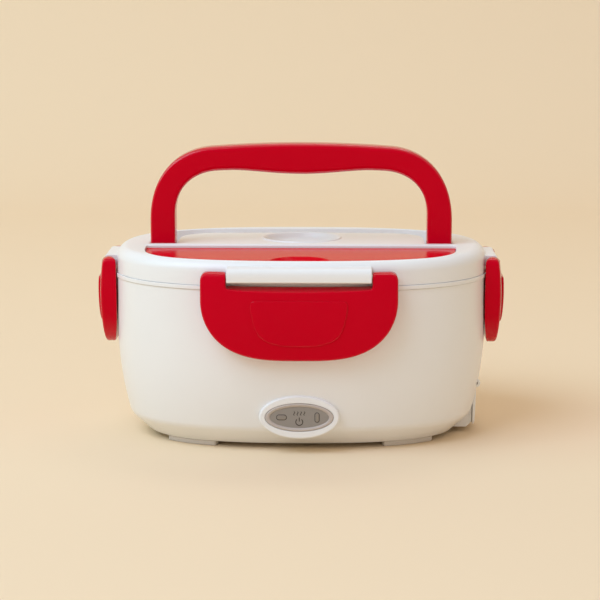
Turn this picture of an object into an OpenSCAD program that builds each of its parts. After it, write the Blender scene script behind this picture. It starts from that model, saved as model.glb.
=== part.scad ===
// Electric lunch box: a heated oval body, a clip-on lid held by four swinging latches, a folding
// carrying handle, a spoon compartment in the lid, and two food containers that lift out.
// Millimetres, +Z up. The origin is on the table under the middle of the body; -Y is the front.

/* [Body] */
// Width of the body across its rim band
body_w = 219; // [208:1:228]
// Depth of the body across its rim band
body_d = 153; // [146:1:162]
// Squareness of the plan outline, where 2 is an ellipse
squareness = 2.5; // [2.4:0.05:2.8]
// Height of the top of the rim above the table
rim_h = 96.2; // [92:0.2:104]
// Height of the rim band
rim_t = 2.2; // [1.8:0.1:2.6]
// How far the rim band stands out from the wall
rim_lip = 0.9; // [0.6:0.1:1.2]
// Width of the rim from its outer edge to the well
rim_w = 6; // [5.6:0.1:6.4]
// Wall thickness of the outer body
wall_t = 2.4; // [2:0.1:2.8]
// Height of the crease where the wall turns under
crease_h = 13; // [11:0.5:15]
// Inset of the wall at the crease from the rim band
crease_in = 8.5; // [7.5:0.5:9.5]
// Inset of the bottom edge from the rim band
base_in = 19.5; // [18:0.5:21]

/* [Base] */
// Height of the corner feet
foot_h = 2.8; // [2.4:0.1:3.4]
// Width of a corner foot, measured inwards
foot_w = 6.5; // [5:0.5:8]
// Thickness of the base cover
cover_t = 2; // [1.6:0.1:2.4]
// Distance of the base screws from the middle, sideways
screw_x = 62; // [56:1:66]
// Distance of the base screws from the middle, front to back
screw_y = 24; // [20:1:28]
// Shank diameter of all screws
screw_d = 2.8; // [2.5:0.1:3.2]
// Number of cooling slots in the base cover
slot_count = 7; // [3:1:9]

/* [Heated well] */
// Wall thickness of the well
well_t = 1.8; // [1.4:0.1:2.2]
// Height of the underside of the well floor
well_h = 20; // [19.6:0.2:21]
// Radius of the heating plate
plate_r = 40; // [37:1:41]
// Thickness of the heating plate
plate_t = 1.7; // [1.5:0.1:2]
// Radius of the opening in the well floor
plate_hole_r = 33; // [31:1:34]
// Thickness of the heater element
element_t = 1.9; // [1.5:0.1:2.2]
// Thickness of the insulation pad
pad_t = 2.3; // [1.8:0.1:2.6]
// Thickness of the steel clamp strip
clamp_t = 1.2; // [1:0.1:1.5]
// Radius of the thermostat
thermostat_r = 8; // [7:0.5:9]

/* [Indicator panel] */
// Width of the oval panel
panel_w = 38.5; // [36:0.5:41]
// Height of the oval panel
panel_h = 16.1; // [15:0.1:17]
// Height of the middle of the panel above the table
panel_z = 21.8; // [21:0.2:22.6]
// Thickness of the panel plate
panel_t = 1.8; // [1.5:0.1:2]
// Width of the raised edge around the dark inlay
bezel_w = 2.6; // [2.2:0.1:3]
// Width of the moulded pad around the panel
pad_edge = 3.4; // [3:0.1:3.8]

/* [Power inlet] */
// Width of the inlet housing
inlet_w = 30; // [28:1:32]
// Width of the socket opening
socket_w = 18; // [16:0.5:19]
// Height of the socket opening
socket_h = 9; // [8.4:0.2:10]
// Depth of the socket
socket_depth = 9; // [8:0.5:9.5]
// Diameter of the contact pins
contact_d = 2.4; // [2.2:0.1:2.6]
// Distance between the contact pins
contact_pitch = 8.6; // [8:0.1:9]
// Thickness of the inlet flap
flap_t = 2; // [1.6:0.1:2.2]

/* [Food containers] */
// Wall thickness of the main container
tub_t = 1.6; // [1.2:0.1:2]
// Width of the side container
side_w = 56; // [50:1:60]
// Depth of the side container, front to back
side_d = 76; // [70:1:80]
// Distance of the side container from the middle
side_x = 48; // [46:1:50]
// Height of the side container
side_h = 58; // [48:1:60]
// Wall thickness of the side container
side_t = 1.4; // [1.2:0.1:1.8]

/* [Lid] */
// Height of the lid above the rim
lid_h = 14; // [13.6:0.1:15]
// Radius of the rounded top edge of the lid
lid_edge_r = 7; // [6:0.5:8]
// Depth of the recess for the inner lid plate
plate_recess = 1.8; // [1.6:0.1:2]
// Thickness of the lid gasket
gasket_t = 1.5; // [1.3:0.1:1.6]
// Width of the lid gasket
gasket_w = 4.6; // [4:0.1:5]
// Height of the bar in front of the handle above the lid top
bar_rise = 0.7; // [0.4:0.1:1.2]

/* [Spoon compartment] */
// Width of the crescent cover
cover_w = 182.4; // [172:0.4:184]
// Inset of the cover's front edge from the rim band
cover_in = 5.9; // [5.6:0.1:8]
// Distance of the cover's straight rear edge from the middle
cover_back = 13.3; // [13:0.1:14]
// Thickness of the crescent cover
cover_plate_t = 2.2; // [1.8:0.1:2.4]
// Depth of the compartment under the cover's seat
spoon_well = 7; // [6.4:0.1:7.2]
// Room left between each end of the spoon and the end of the cover
spoon_end = 17.5; // [16:0.5:30]

/* [Vent] */
// Width of the dished vent recess
vent_w = 56; // [52:1:60]
// Depth of the dished recess, front to back
vent_d = 34; // [31:1:35]
// How deep the vent recess goes into the lid
vent_sink = 4.5; // [3.5:0.5:5]
// Diameter of the vent plug's head
plug_d = 15; // [13:0.5:16]
// Diameter of the vent hole
vent_hole_d = 7; // [6:0.5:8]

/* [Latches] */
// Width of the front and rear latches
latch_w = 109.4; // [102:0.2:114]
// Length of the side latches along the body
side_latch_w = 54; // [50:1:58]
// Height of the front and rear latches' lower edge above the table
latch_low = 55.6; // [50:0.1:62]
// Height of the side latches' lower edge above the table
side_latch_low = 51.8; // [48:0.1:60]
// Height of the latch hinge axis above the rim
latch_rise = 6.4; // [6:0.1:7]
// How far the latches stand out from the rim band
latch_out = 9.5; // [9:0.5:10.5]
// Length of the front and rear hinge bars
lug_w = 80; // [76:1:84]
// Length of the side hinge bars
side_lug_w = 35; // [32:1:36]
// How far the front and rear hinge bars reach in front of the hinge axis
bar_reach = 4.7; // [4.4:0.1:4.9]
// How far the side hinge bars reach in front of the hinge axis
side_bar_reach = 2.3; // [2.2:0.1:4.9]
// Height of the front and rear hinge bars
bar_h = 8; // [7.4:0.2:8.2]
// Height of the side hinge bars
side_bar_h = 6; // [5.6:0.2:8.2]
// Diameter of the latch pins
latch_pin_d = 3; // [2.6:0.1:3.2]

/* [Handle] */
// Width across the handle's legs
handle_w = 176.4; // [168:0.4:178]
// Height of the handle above the lid top
handle_rise = 58.8; // [56:0.2:59]
// Width of a handle leg
leg_w = 14.6; // [13.6:0.2:15.2]
// Depth of the handle, front to back
grip_d = 14.4; // [13.6:0.2:14.6]
// Height of the grip's section at its thin parts
grip_t = 15; // [14:0.2:16]
// Extra depth of the belly under the middle of the grip
belly = 3.2; // [1:0.1:3.4]
// Diameter of the handle pins
handle_pin_d = 3; // [2.6:0.1:3.2]

/* [Fits] */
// Clearance between separate pieces
gap = 0.3; // [0.2:0.05:0.35]
// Radial clearance of a turning pin
run_fit = 0.05; // [0.03:0.01:0.08]
// Radial clearance of a pin or screw that stays put
seat_fit = 0.03; // [0.02:0.01:0.05]

/* [Hidden] */
$fn = 48;

eps = 0.01;
plan_n = 72;                       // points round the plan outline
half_w = body_w / 2;
half_d = body_d / 2;
rim_low = rim_h - rim_t;           // underside of the rim band
lid_low = rim_h + gap;             // lower edge of the lid skirt
lid_top = lid_low + lid_h;
plate_top = lid_low + plate_recess;
base_open = base_in + wall_t;      // inset of the opening in the bottom of the body

// heated well and what hangs under it
ledge_h = rim_low - gap;           // top of the well's flange
well_gap = 4.2;                    // from the rim's inner edge to the well's wall
well_in = rim_w + well_gap;
well_low_in = 20;                  // inset of the well's floor
well_floor = well_h + well_t;
plate_low = well_floor + gap;
plate_boss_h = 3.1;                // how far the plate reaches down through the well floor
boss_low = plate_low - plate_boss_h;
element_top = boss_low - gap;
pad_top = element_top - element_t - gap;
clamp_top = pad_top - pad_t - gap;
clamp_low = clamp_top - clamp_t;
clamp_l = 94;
clamp_w = 14;
clamp_screw_x = 41;
boss_r = 4;
screw_r = screw_d / 2;
head_r = 3;
head_t = 1.7;
pilot_r = screw_r + seat_fit;
thermostat_t = 5;
fuse_r = 1.8;
fuse_l = 14;
fuse_x = -24;
base_top = foot_h + cover_t;

// indicator panel
panel_y = half_d - 2.9;            // distance of the panel's face from the middle
pocket_y = panel_y - panel_t + gap;
web_t = 1.6;                       // wall left behind the panel
board_y = pocket_y - web_t - 1.1;  // front face of the indicator board
board_t = 1.2;
board_h = 11;
lamp_x = 10;
lamp_r = 1.5;
inlay_t = 0.5;
print_t = 0.15;

// power inlet
inlet_h = well_h - 0.5;            // top of the inlet housing
inlet_low = foot_h + 0.2;
inlet_face = half_w - 8.6;         // plane of the housing's outer face
inlet_back = half_w - base_open + 0.6;
inlet_z = (inlet_h + inlet_low) / 2 + 0.6;
flap_x = inlet_face + gap;
barrel_r = 1.8;
hinge_x = flap_x + barrel_r;
hinge_z = inlet_h + 10.8;
flap_pin_r = 0.9;
flap_half = inlet_w / 2 + 1.5;

// containers
tub_in = well_in + well_t + 0.7;   // inset of the main container's wall at its top
tub_low = plate_low + plate_t + gap;
tub_rim_low = ledge_h + gap;
tub_rim_t = 1.4;
tub_floor_in = tub_in + 11;
side_low = tub_low + tub_t + gap;
side_top = side_low + side_h;
side_n = 3.2;

// lid
gasket_in = rim_w + 1.3;
plug_in = tub_in + tub_t + 0.5;    // inset of the ring under the inner plate
handle_gap = 0.7;
pivot_z = lid_top - 2.6;           // handle hinge axis
handle_h = handle_rise + lid_top - pivot_z;
grip_r = grip_d / 2;
channel_low = pivot_z - grip_r - gap;
handle_half = handle_w / 2;
leg_in = handle_half - leg_w;
straight_h = 17.6;                 // straight part of the legs above the hinge axis
arch_out_n = 3.3;
arch_in_n = 3.4;
belly_half = 40;                   // half length of the belly under the grip
handle_pin_r = handle_pin_d / 2;
plateau_low = 6;                   // thickness left above the hollow under the plateau
tip_n = 14;                        // how sharply the crescent's outline turns at its tips
tip_in = 1.1;                      // from the crescent's half width to its rear corners
tip_angle = 16;
cover_top = lid_top - 0.3;
cover_seat = cover_top - cover_plate_t - gap;
ledge_w = 3;
spoon_floor = cover_seat - spoon_well;
cover_reach = half_d - cover_in;   // distance of the cover's front edge from the middle
spoon_l = cover_w - 2 * spoon_end;
spoon_shift = 3.4;                 // spoon's distance behind the middle of its compartment
scoop_ball_r = 30;                 // ball that shapes the finger scoop
scoop_ball_h = 24.7;               // its middle above the cover
scoop_bowl_r = 19;
scoop_back = 6.1;                  // from the cover's front edge to the middle of the scoop
cover_barrel_r = 1.1;
cover_axis_y = -(cover_back + 0.45 + cover_barrel_r);
cover_axis_z = cover_top - cover_plate_t / 2 - 0.2;
cover_stub_r = 0.8;
cover_half = cover_w / 2;
vent_y = grip_r + 0.6 + vent_d / 2 - 4.5;
vent_floor = lid_top - vent_sink;

// latches
latch_pin_r = latch_pin_d / 2;
pivot_out = 2.4;                   // hinge axis, outwards from the rim band
latch_z = rim_h + latch_rise;
latch_top = latch_z + 2.9;
latch_inner = 0.4;                 // inner face, outwards from the rim band
notch_low = latch_z - 7.6;         // lower edge of the notch between the ears
latch_bend = 0.6;                  // share of the body's curve that a latch follows
bar_low = latch_z - 3;
bar_root = 11;                     // how far a hinge bar reaches into the lid
bar_round = 1.6;
stub_l = 7.2;                      // reach of a latch pin beyond the hinge bar

// ---------- outlines and skins ----------

function sgn(v) = v < 0 ? -1 : 1;
function spow(v, e) = sgn(v) * pow(abs(v), e);

// point at angle t on the plan outline, moved outwards by d along its normal
function plan_pt(t, d) =
    let (x = half_w * spow(cos(t), 2 / squareness))
    let (y = half_d * spow(sin(t), 2 / squareness))
    let (gx = spow(x / half_w, squareness - 1) / half_w)
    let (gy = spow(y / half_d, squareness - 1) / half_d)
    let (g = norm([gx, gy]))
    [x + d * gx / g, y + d * gy / g];
function plan_2d(d) = [for (i = [0:plan_n - 1]) plan_pt(360 * i / plan_n, d)];
function plan_ring(d, z) = [for (p = plan_2d(d)) [p.x, p.y, z]];

// how far the outline has drawn back at a distance x from the middle of a side
function sag(x, along, out) = out * (1 - pow(1 - pow(abs(x) / along, squareness), 1 / squareness));

// inset of the outer wall at height z
function wall_in(z) = z < crease_h
    ? base_in + (crease_in - base_in) * (z - foot_h) / (crease_h - foot_h)
    : rim_lip + (crease_in - rim_lip) * pow((rim_low - z) / (rim_low - crease_h), 3);

function oval_2d(a, b, n = 2, m = 48) =
    [for (i = [0:m - 1]) let (t = 360 * i / m) [a * spow(cos(t), 2 / n), b * spow(sin(t), 2 / n)]];

// closed skin over a stack of rings; each ring runs anticlockwise seen from the last ring
module skin(rings) {
    n = len(rings);
    m = len(rings[0]);
    h = m / 2;
    sides = [for (i = [0:n - 2], j = [0:m - 1])
        let (a = i * m + j, b = i * m + (j + 1) % m, c = b + m, d = a + m)
        each [[a, d, c], [a, c, b]]];
    caps = [for (i = [0:h - 1])
        let (a = i, b = i + 1, c = m - i - 1, d = (m - i) % m, k = (n - 1) * m)
        each [[a, b, c], [a, c, d], [k + a, k + c, k + b], [k + a, k + d, k + c]]];
    faces = [for (f = concat(sides, caps)) if (f[0] != f[1] && f[1] != f[2] && f[0] != f[2]) f];
    polyhedron(points = [for (r = rings) each r], faces = faces, convexity = 8);
}

// skin over the plan outline; profile is a list of [height, inset], lowest first
module plan_skin(profile) {
    skin([for (p = profile) plan_ring(-p[1], p[0])]);
}

// flat plate of the plan outline, inset by d, from z0 to z1
module plan_plate(d, z0, z1) {
    translate([0, 0, z0]) linear_extrude(z1 - z0) polygon(plan_2d(-d));
}

// flat ring between two insets of the plan outline
module plan_band(d0, d1, z0, z1) {
    difference() {
        plan_plate(d0, z0, z1);
        plan_plate(d1, z0 - 1, z1 + 1);
    }
}

// oval prism that stands on a vertical plane, from distance y0 to y1 in front of the middle
module front_oval(a, b, y0, y1) {
    translate([0, -y0, panel_z]) rotate([90, 0, 0]) linear_extrude(y1 - y0) polygon(oval_2d(a, b));
}

module rod_x(r, x0, x1, y, z) {
    translate([x0, y, z]) rotate([0, 90, 0]) cylinder(r = r, h = x1 - x0);
}

module rod_y(r, y0, y1, x, z) {
    translate([x, y0, z]) rotate([-90, 0, 0]) cylinder(r = r, h = y1 - y0);
}

// smooth tube through hand-placed points
function mix(a, b, c, d, t) = 0.5 * ((2 * b) + (c - a) * t + (2 * a - 5 * b + 4 * c - d) * t * t
    + (3 * b - a - 3 * c + d) * t * t * t);
function smooth(pts, steps) = let (n = len(pts)) concat(
    [for (i = [0:n - 2], k = [0:steps - 1])
        mix(pts[max(i - 1, 0)], pts[i], pts[i + 1], pts[min(i + 2, n - 1)], k / steps)],
    [pts[n - 1]]);
module wire(pts, r) {
    path = smooth(pts, 4);
    n = len(path);
    skin([for (i = [0:n - 1])
        let (v = path[min(i + 1, n - 1)] - path[max(i - 1, 0)], t = v / norm(v))
        let (s0 = cross([0, 0, 1], t), s = norm(s0) < 0.05 ? [1, 0, 0] : s0 / norm(s0))
        let (u = cross(t, s))
        [for (j = [0:7]) path[i] + r * (cos(45 * j) * s + sin(45 * j) * u)]]);
}

// ---------- body ----------

wall_levels = [foot_h, (foot_h + crease_h) / 2, crease_h - 0.8, crease_h + 0.8, crease_h + 4,
    crease_h + 10, crease_h + 20, crease_h + 34, crease_h + 52, rim_low];

module body_outer() {
    plan_skin(concat([for (z = wall_levels) [z, wall_in(z)]], [[rim_low + 0.5, rim_lip]]));
}

module body_inner() {
    plan_skin(concat([[foot_h - 1, base_open]], [for (z = wall_levels) [z, wall_in(z) + wall_t]],
        [[rim_low + 1, rim_lip + wall_t]]));
}

pad_w = panel_w / 2 + pad_edge;
pad_hh = panel_h / 2 + pad_edge + 1;
backing_x = inlet_face - 2.6;
recess_half = flap_half + gap;
lug_y = recess_half + 3;

module body_shell() {
    color([0.93, 0.91, 0.89]) difference() {
        union() {
            difference() {
                body_outer();
                body_inner();
            }
            plan_band(0, rim_w, rim_low, rim_h);
            // pad that carries the indicator panel
            front_oval(pad_w, pad_hh, panel_y - 12, panel_y);
            // thick patch behind the inlet flap, with its two hinge lugs
            intersection() {
                body_outer();
                translate([backing_x, -lug_y, foot_h])
                    cube([half_w - backing_x, 2 * lug_y, hinge_z + 5 - foot_h]);
            }
            for (s = [0, 1]) mirror([0, s, 0]) rod_y(2.4, recess_half, lug_y, hinge_x, hinge_z);
        }
        // hollow behind the panel pad, pocket for the plate, holes for the lamps
        front_oval(pad_w - 2.2, pad_hh - 2.2, panel_y - 20, pocket_y - web_t);
        front_oval(panel_w / 2 + 0.1, panel_h / 2 + 0.1, pocket_y, panel_y + 2);
        for (s = [-1, 1]) rod_y(lamp_r + 0.2, -panel_y, -board_y, s * lamp_x, panel_z);
        // recess for the flap, hole for the inlet housing, bore for the flap pin
        translate([inlet_face, -recess_half, foot_h - 1])
            cube([20, 2 * recess_half, hinge_z + barrel_r + gap - foot_h + 1]);
        translate([inlet_back - 8, -inlet_w / 2 - gap, foot_h - 1])
            cube([40, inlet_w + 2 * gap, inlet_h + gap - foot_h + 1]);
        rod_y(flap_pin_r + seat_fit, -lug_y - 1, lug_y + 1, hinge_x, hinge_z);
    }
}

// ---------- heated well ----------

// inset of the well's outer face, by height above its underside
well_side = [[0, well_low_in], [1.5, well_low_in - 2.4], [5, well_low_in - 4.2],
    [30, well_low_in - 7]];

module inner_well() {
    top = ledge_h - well_t;
    color([0.85, 0.86, 0.87]) difference() {
        union() {
            difference() {
                plan_skin(concat([for (p = well_side) [well_h + p[0], p[1]]], [[top + 0.5, well_in]]));
                plan_skin(concat(
                    [for (p = well_side) [well_floor + p[0], p[1] + well_t]],
                    [[top + 2, well_in + well_t]]));
            }
            plan_band(rim_lip + wall_t + gap, well_in + well_t, top, ledge_h);
            for (x = [-1, 1], y = [-1, 1])
                translate([x * screw_x, y * screw_y, base_top + gap])
                    cylinder(r = boss_r, h = well_h + 0.5 - base_top - gap);
            for (x = [-1, 1])
                translate([x * clamp_screw_x, 0, clamp_top + gap])
                    cylinder(r = boss_r, h = well_h + 0.5 - clamp_top - gap);
        }
        translate([0, 0, well_h - 1]) cylinder(r = plate_hole_r, h = well_t + 2, $fn = 96);
        for (x = [-1, 1], y = [-1, 1])
            translate([x * screw_x, y * screw_y, base_top]) cylinder(r = pilot_r, h = 12);
        for (x = [-1, 1])
            translate([x * clamp_screw_x, 0, clamp_top]) cylinder(r = pilot_r, h = 6);
    }
}

module heating_plate() {
    color([0.78, 0.78, 0.8]) difference() {
        union() {
            translate([0, 0, plate_low]) cylinder(r = plate_r, h = plate_t, $fn = 96);
            translate([0, 0, boss_low]) cylinder(r = plate_hole_r - gap, h = plate_boss_h + 0.5, $fn = 96);
        }
        // two pressed rings in the top face
        for (r = [14, 26]) translate([0, 0, plate_low + plate_t - 0.4]) difference() {
            cylinder(r = r + 1, h = 1, $fn = 96);
            translate([0, 0, -1]) cylinder(r = r - 1, h = 3, $fn = 96);
        }
    }
}

module heater_element() {
    color([0.45, 0.4, 0.36]) translate([0, 0, element_top - element_t]) difference() {
        cylinder(r = plate_hole_r - 5, h = element_t, $fn = 96);
        translate([0, 0, -1]) cylinder(r = 7, h = element_t + 2);
    }
}

module insulation_pad() {
    color([0.9, 0.88, 0.8]) translate([0, 0, pad_top - pad_t])
        cylinder(r = plate_hole_r - 3, h = pad_t, $fn = 96);
}

module heater_clamp() {
    color([0.7, 0.71, 0.73]) difference() {
        translate([-clamp_l / 2, -clamp_w / 2, clamp_low]) cube([clamp_l, clamp_w, clamp_t]);
        for (x = [-1, 1])
            translate([x * clamp_screw_x, 0, clamp_low - 1]) cylinder(r = pilot_r, h = clamp_t + 2);
    }
}

module screw(length) {
    translate([0, 0, -head_t]) difference() {
        cylinder(r = head_r, h = head_t);
        for (a = [0, 90]) rotate(a) translate([-1.8, -0.4, -1]) cube([3.6, 0.8, 1.9]);
    }
    translate([0, 0, -eps]) cylinder(r = screw_r, h = length);
}

module clamp_screws() {
    color([0.6, 0.61, 0.63]) for (x = [-1, 1])
        translate([x * clamp_screw_x, 0, clamp_low]) screw(clamp_t + gap + 4);
}

module thermostat() {
    color([0.3, 0.28, 0.27]) union() {
        translate([0, 0, clamp_low - gap - thermostat_t]) cylinder(r = thermostat_r, h = thermostat_t);
        for (s = [-1, 1])
            translate([s * thermostat_r - 2.5, -2, clamp_low - gap - 3]) cube([5, 4, 0.8]);
    }
}

module thermal_fuse() {
    color([0.85, 0.85, 0.86])
        rod_x(fuse_r, fuse_x - fuse_l / 2, fuse_x + fuse_l / 2, 0, clamp_low - gap - fuse_r);
}

// ---------- wiring ----------

block_x = 66;
block_y = -6;
block_l = 12;
block_w = 20;
block_h = 9;
block_low = base_top + gap;
wire_r = 1.1;
contact_back = inlet_back - 3;
wire_z = block_low + block_h / 2;
fuse_z = clamp_low - gap - fuse_r;
tab_z = clamp_low - gap - 3 + 0.4;

module terminal_block() {
    color([0.9, 0.9, 0.86]) difference() {
        translate([block_x - block_l / 2, block_y - block_w / 2, block_low])
            cube([block_l, block_w, block_h]);
        for (y = [-6, 0, 6])
            translate([block_x, block_y + y, block_low + block_h - 3]) cylinder(r = 1.7, h = 4);
    }
}

module wire_live() {
    color([0.45, 0.28, 0.16]) wire([[contact_back - 0.3, -contact_pitch / 2, inlet_z],
        [contact_back - 3, -contact_pitch / 2 - 0.5, inlet_z - 0.5],
        [block_x + block_l / 2 + 3.5, block_y - 4, wire_z],
        [block_x + block_l / 2 + 0.3, block_y - 4, wire_z]], wire_r);
}

module wire_neutral() {
    color([0.2, 0.35, 0.7]) wire([[contact_back - 0.3, contact_pitch / 2, inlet_z],
        [contact_back - 3, contact_pitch / 2, inlet_z - 0.5],
        [block_x + block_l / 2 + 3.5, block_y + 6, wire_z],
        [block_x + block_l / 2 + 0.3, block_y + 6, wire_z]], wire_r);
}

module wire_heater() {
    end_x = thermostat_r + 2.5 + gap;
    color([0.85, 0.85, 0.82]) wire([[block_x - block_l / 2 - 0.3, block_y, wire_z],
        [block_x - block_l / 2 - 6, block_y, wire_z],
        [(block_x + end_x) / 2, block_y - 4, tab_z - 1.5],
        [end_x + 9, -2, tab_z - 1], [end_x + 3, 0, tab_z], [end_x, 0, tab_z]], wire_r);
}

module wire_fuse() {
    start_x = -thermostat_r - 2.5 - gap;
    end_x = fuse_x + fuse_l / 2 + gap;
    color([0.85, 0.85, 0.82]) wire([[start_x, 0, tab_z], [start_x - 2, 0, tab_z],
        [end_x + 1.2, 0, fuse_z], [end_x, 0, fuse_z]], wire_r * 0.7);
}

module wire_lamps() {
    end_y = -board_y + board_t;
    color([0.75, 0.2, 0.18]) wire([[block_x - block_l / 2 - 0.3, block_y - 7, wire_z],
        [block_x - block_l / 2 - 6, block_y - 9, wire_z],
        [36, -30, wire_z + 1], [20, -46, wire_z + 3],
        [8, end_y + 8, panel_z - 6], [8, end_y + 3, panel_z - 4], [8, end_y + 0.3, panel_z - 4]],
        wire_r);
}

// ---------- indicator panel ----------

module indicator_board() {
    color([0.16, 0.42, 0.25]) translate([-panel_w / 2 + 2.5, -board_y, panel_z - board_h / 2])
        cube([panel_w - 5, board_t, board_h]);
}

module lamp(x, shade) {
    color(shade) rod_y(lamp_r, -(pocket_y - gap), -board_y - eps, x, panel_z);
}

module heat_lamp() {
    lamp(-lamp_x, [0.8, 0.15, 0.1]);
}

module power_lamp() {
    lamp(lamp_x, [0.2, 0.7, 0.3]);
}

// slot-shaped outline with round ends, long way along x
module slot_prism(length, width, h) {
    reach = (length - width) / 2;
    union() {
        translate([-reach, -width / 2, 0]) cube([2 * reach, width, h]);
        for (s = [-1, 1]) translate([s * reach, 0, 0]) cylinder(r = width / 2, h = h);
    }
}

// left window lies flat, right window stands up
module window_pair(grow, y0, y1) {
    translate([-lamp_x, -y0, panel_z]) rotate([90, 0, 0])
        slot_prism(5.4 + 2 * grow, 2.8 + 2 * grow, y1 - y0);
    translate([lamp_x, -y0, panel_z]) rotate([90, 0, 0]) rotate(90)
        slot_prism(5 + 2 * grow, 2.4 + 2 * grow, y1 - y0);
}

inlay_y = panel_y - 0.4;

module panel_plate() {
    color([0.66, 0.63, 0.6]) difference() {
        front_oval(panel_w / 2, panel_h / 2, pocket_y + 0.05, panel_y + 0.15);
        front_oval(panel_w / 2 - bezel_w, panel_h / 2 - bezel_w * 0.75, inlay_y - inlay_t, panel_y + 1);
        window_pair(0.05, pocket_y - 1, panel_y + 1);
    }
}

module panel_inlay() {
    color([0.55, 0.52, 0.49]) difference() {
        front_oval(panel_w / 2 - bezel_w - 0.05, panel_h / 2 - bezel_w * 0.75 - 0.05,
            inlay_y - inlay_t + 0.02, inlay_y);
        window_pair(0.05, pocket_y - 1, panel_y + 1);
    }
}

module lamp_windows() {
    color([0.8, 0.75, 0.7]) window_pair(0, pocket_y + 0.1, inlay_y + 0.1);
}

// broken ring with a bar through the gap, printed on the inlay
module power_symbol() {
    color([0.3, 0.26, 0.22]) translate([0, -inlay_y - 0.01, panel_z - 2.6]) rotate([90, 0, 0]) {
        difference() {
            cylinder(r = 2.2, h = print_t);
            translate([0, 0, -1]) cylinder(r = 1.65, h = 3);
            translate([-0.8, 0, -1]) cube([1.6, 4, 3]);
        }
        translate([-0.28, 0.4, 0]) cube([0.56, 2.5, print_t]);
    }
}

// ---------- power inlet ----------

module inlet_housing() {
    cut = 4.5;
    color([0.86, 0.84, 0.82]) difference() {
        translate([inlet_back, -inlet_w / 2, inlet_low])
            cube([inlet_face - inlet_back, inlet_w, inlet_h - inlet_low]);
        // lower outer edge taken off at 45 degrees
        translate([inlet_face, 0, inlet_low]) rotate([0, 45, 0])
            cube([cut, inlet_w + 2, cut], center = true);
        // socket and the passages of the two contacts
        translate([inlet_face - socket_depth, 0, inlet_z]) rotate([90, 0, 90])
            slot_prism(socket_w, socket_h, socket_depth + 1);
        for (s = [-1, 1])
            rod_x(contact_d / 2 + seat_fit, inlet_back - 1, inlet_face - socket_depth + 1,
                s * contact_pitch / 2, inlet_z);
    }
}

module inlet_contacts() {
    color([0.75, 0.76, 0.78]) for (s = [-1, 1])
        rod_x(contact_d / 2, contact_back, inlet_face - 1.5, s * contact_pitch / 2, inlet_z);
}

module inlet_flap() {
    flap_low = foot_h + 1.8;
    color([0.88, 0.86, 0.84]) difference() {
        union() {
            translate([flap_x, -flap_half, flap_low]) cube([flap_t, 2 * flap_half, hinge_z - flap_low]);
            rod_y(barrel_r, -flap_half, flap_half, hinge_x, hinge_z);
            // finger lip along the lower edge
            translate([flap_x + flap_t - eps, -8, flap_low]) cube([1, 16, 1.2]);
        }
        rod_y(flap_pin_r + run_fit, -flap_half - 1, flap_half + 1, hinge_x, hinge_z);
    }
}

module flap_pin() {
    color([0.7, 0.71, 0.73]) rod_y(flap_pin_r, -lug_y, lug_y, hinge_x, hinge_z);
}

// ---------- base ----------

module base_cover() {
    pitch = 7;
    color([0.86, 0.85, 0.83]) difference() {
        plan_plate(base_open + gap, foot_h, base_top);
        for (x = [-1, 1], y = [-1, 1])
            translate([x * screw_x, y * screw_y, 0]) cylinder(r = screw_r + 0.2, h = 20);
        for (i = [0:slot_count - 1])
            translate([(i - (slot_count - 1) / 2) * pitch, 0, 0]) rotate(90)
                slot_prism(40, 2.4, 20);
    }
}

module base_screws() {
    color([0.6, 0.61, 0.63]) for (x = [-1, 1], y = [-1, 1])
        translate([x * screw_x, y * screw_y, foot_h]) screw(cover_t + gap + 7);
}

// four pads that follow the corners of the bottom edge
module feet() {
    color([0.82, 0.81, 0.79]) for (c = [0:3]) {
        mid = [52, 128, 232, 308][c];
        arc = [for (i = [-7:7]) mid + i * 2];
        linear_extrude(foot_h) polygon(concat(
            [for (t = arc) plan_pt(t, -base_in - 0.2)],
            [for (i = [14:-1:0]) plan_pt(arc[i], -base_in - foot_w)]));
    }
}

// ---------- food containers ----------

tub_side = [[0, 0], [0.8, -2.6], [2.6, -4.6], [7, -6.2], [36, -8.6]];

module main_container() {
    color([0.9, 0.9, 0.88]) difference() {
        union() {
            plan_skin(concat([for (p = tub_side) [tub_low + p[0], tub_floor_in + p[1]]],
                [[tub_rim_low + tub_rim_t - 0.3, tub_in]]));
            plan_plate(rim_w + 0.4, tub_rim_low, tub_rim_low + tub_rim_t);
        }
        plan_skin(concat([for (p = tub_side) [tub_low + tub_t + p[0], tub_floor_in + tub_t + p[1]]],
            [[tub_rim_low + tub_rim_t + 1, tub_in + tub_t]]));
    }
}

function side_ring(a, b, z) = [for (p = oval_2d(a, b, side_n)) [side_x + p.x, p.y, z]];

module side_tub(grow, z0, z1) {
    a = side_w / 2 + grow;
    b = side_d / 2 + grow;
    skin([side_ring(a - 7, b - 7, z0), side_ring(a - 4.2, b - 4.2, z0 + 1.2),
        side_ring(a - 2.6, b - 2.6, z0 + 4.5), side_ring(a, b, z1)]);
}

module side_container() {
    color([0.92, 0.92, 0.9]) difference() {
        side_tub(0, side_low, side_top);
        side_tub(-side_t, side_low + side_t, side_top + 1);
    }
}

module side_container_lid() {
    low = side_top + gap;
    color([0.75, 0.1, 0.14]) union() {
        difference() {
            translate([side_x, 0, low]) linear_extrude(1.6)
                polygon(oval_2d(side_w / 2 + 0.6, side_d / 2 + 0.6, side_n));
            translate([side_x, 0, low + 0.8]) linear_extrude(2)
                polygon(oval_2d(side_w / 2 - 6, side_d / 2 - 6, side_n));
        }
        // ring that locates inside the container
        translate([side_x, 0, low - 2.5]) linear_extrude(2.6) difference() {
            polygon(oval_2d(side_w / 2 - side_t - 0.6, side_d / 2 - side_t - 0.6, side_n));
            polygon(oval_2d(side_w / 2 - side_t - 1.8, side_d / 2 - side_t - 1.8, side_n));
        }
    }
}

// ---------- lid ----------

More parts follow.
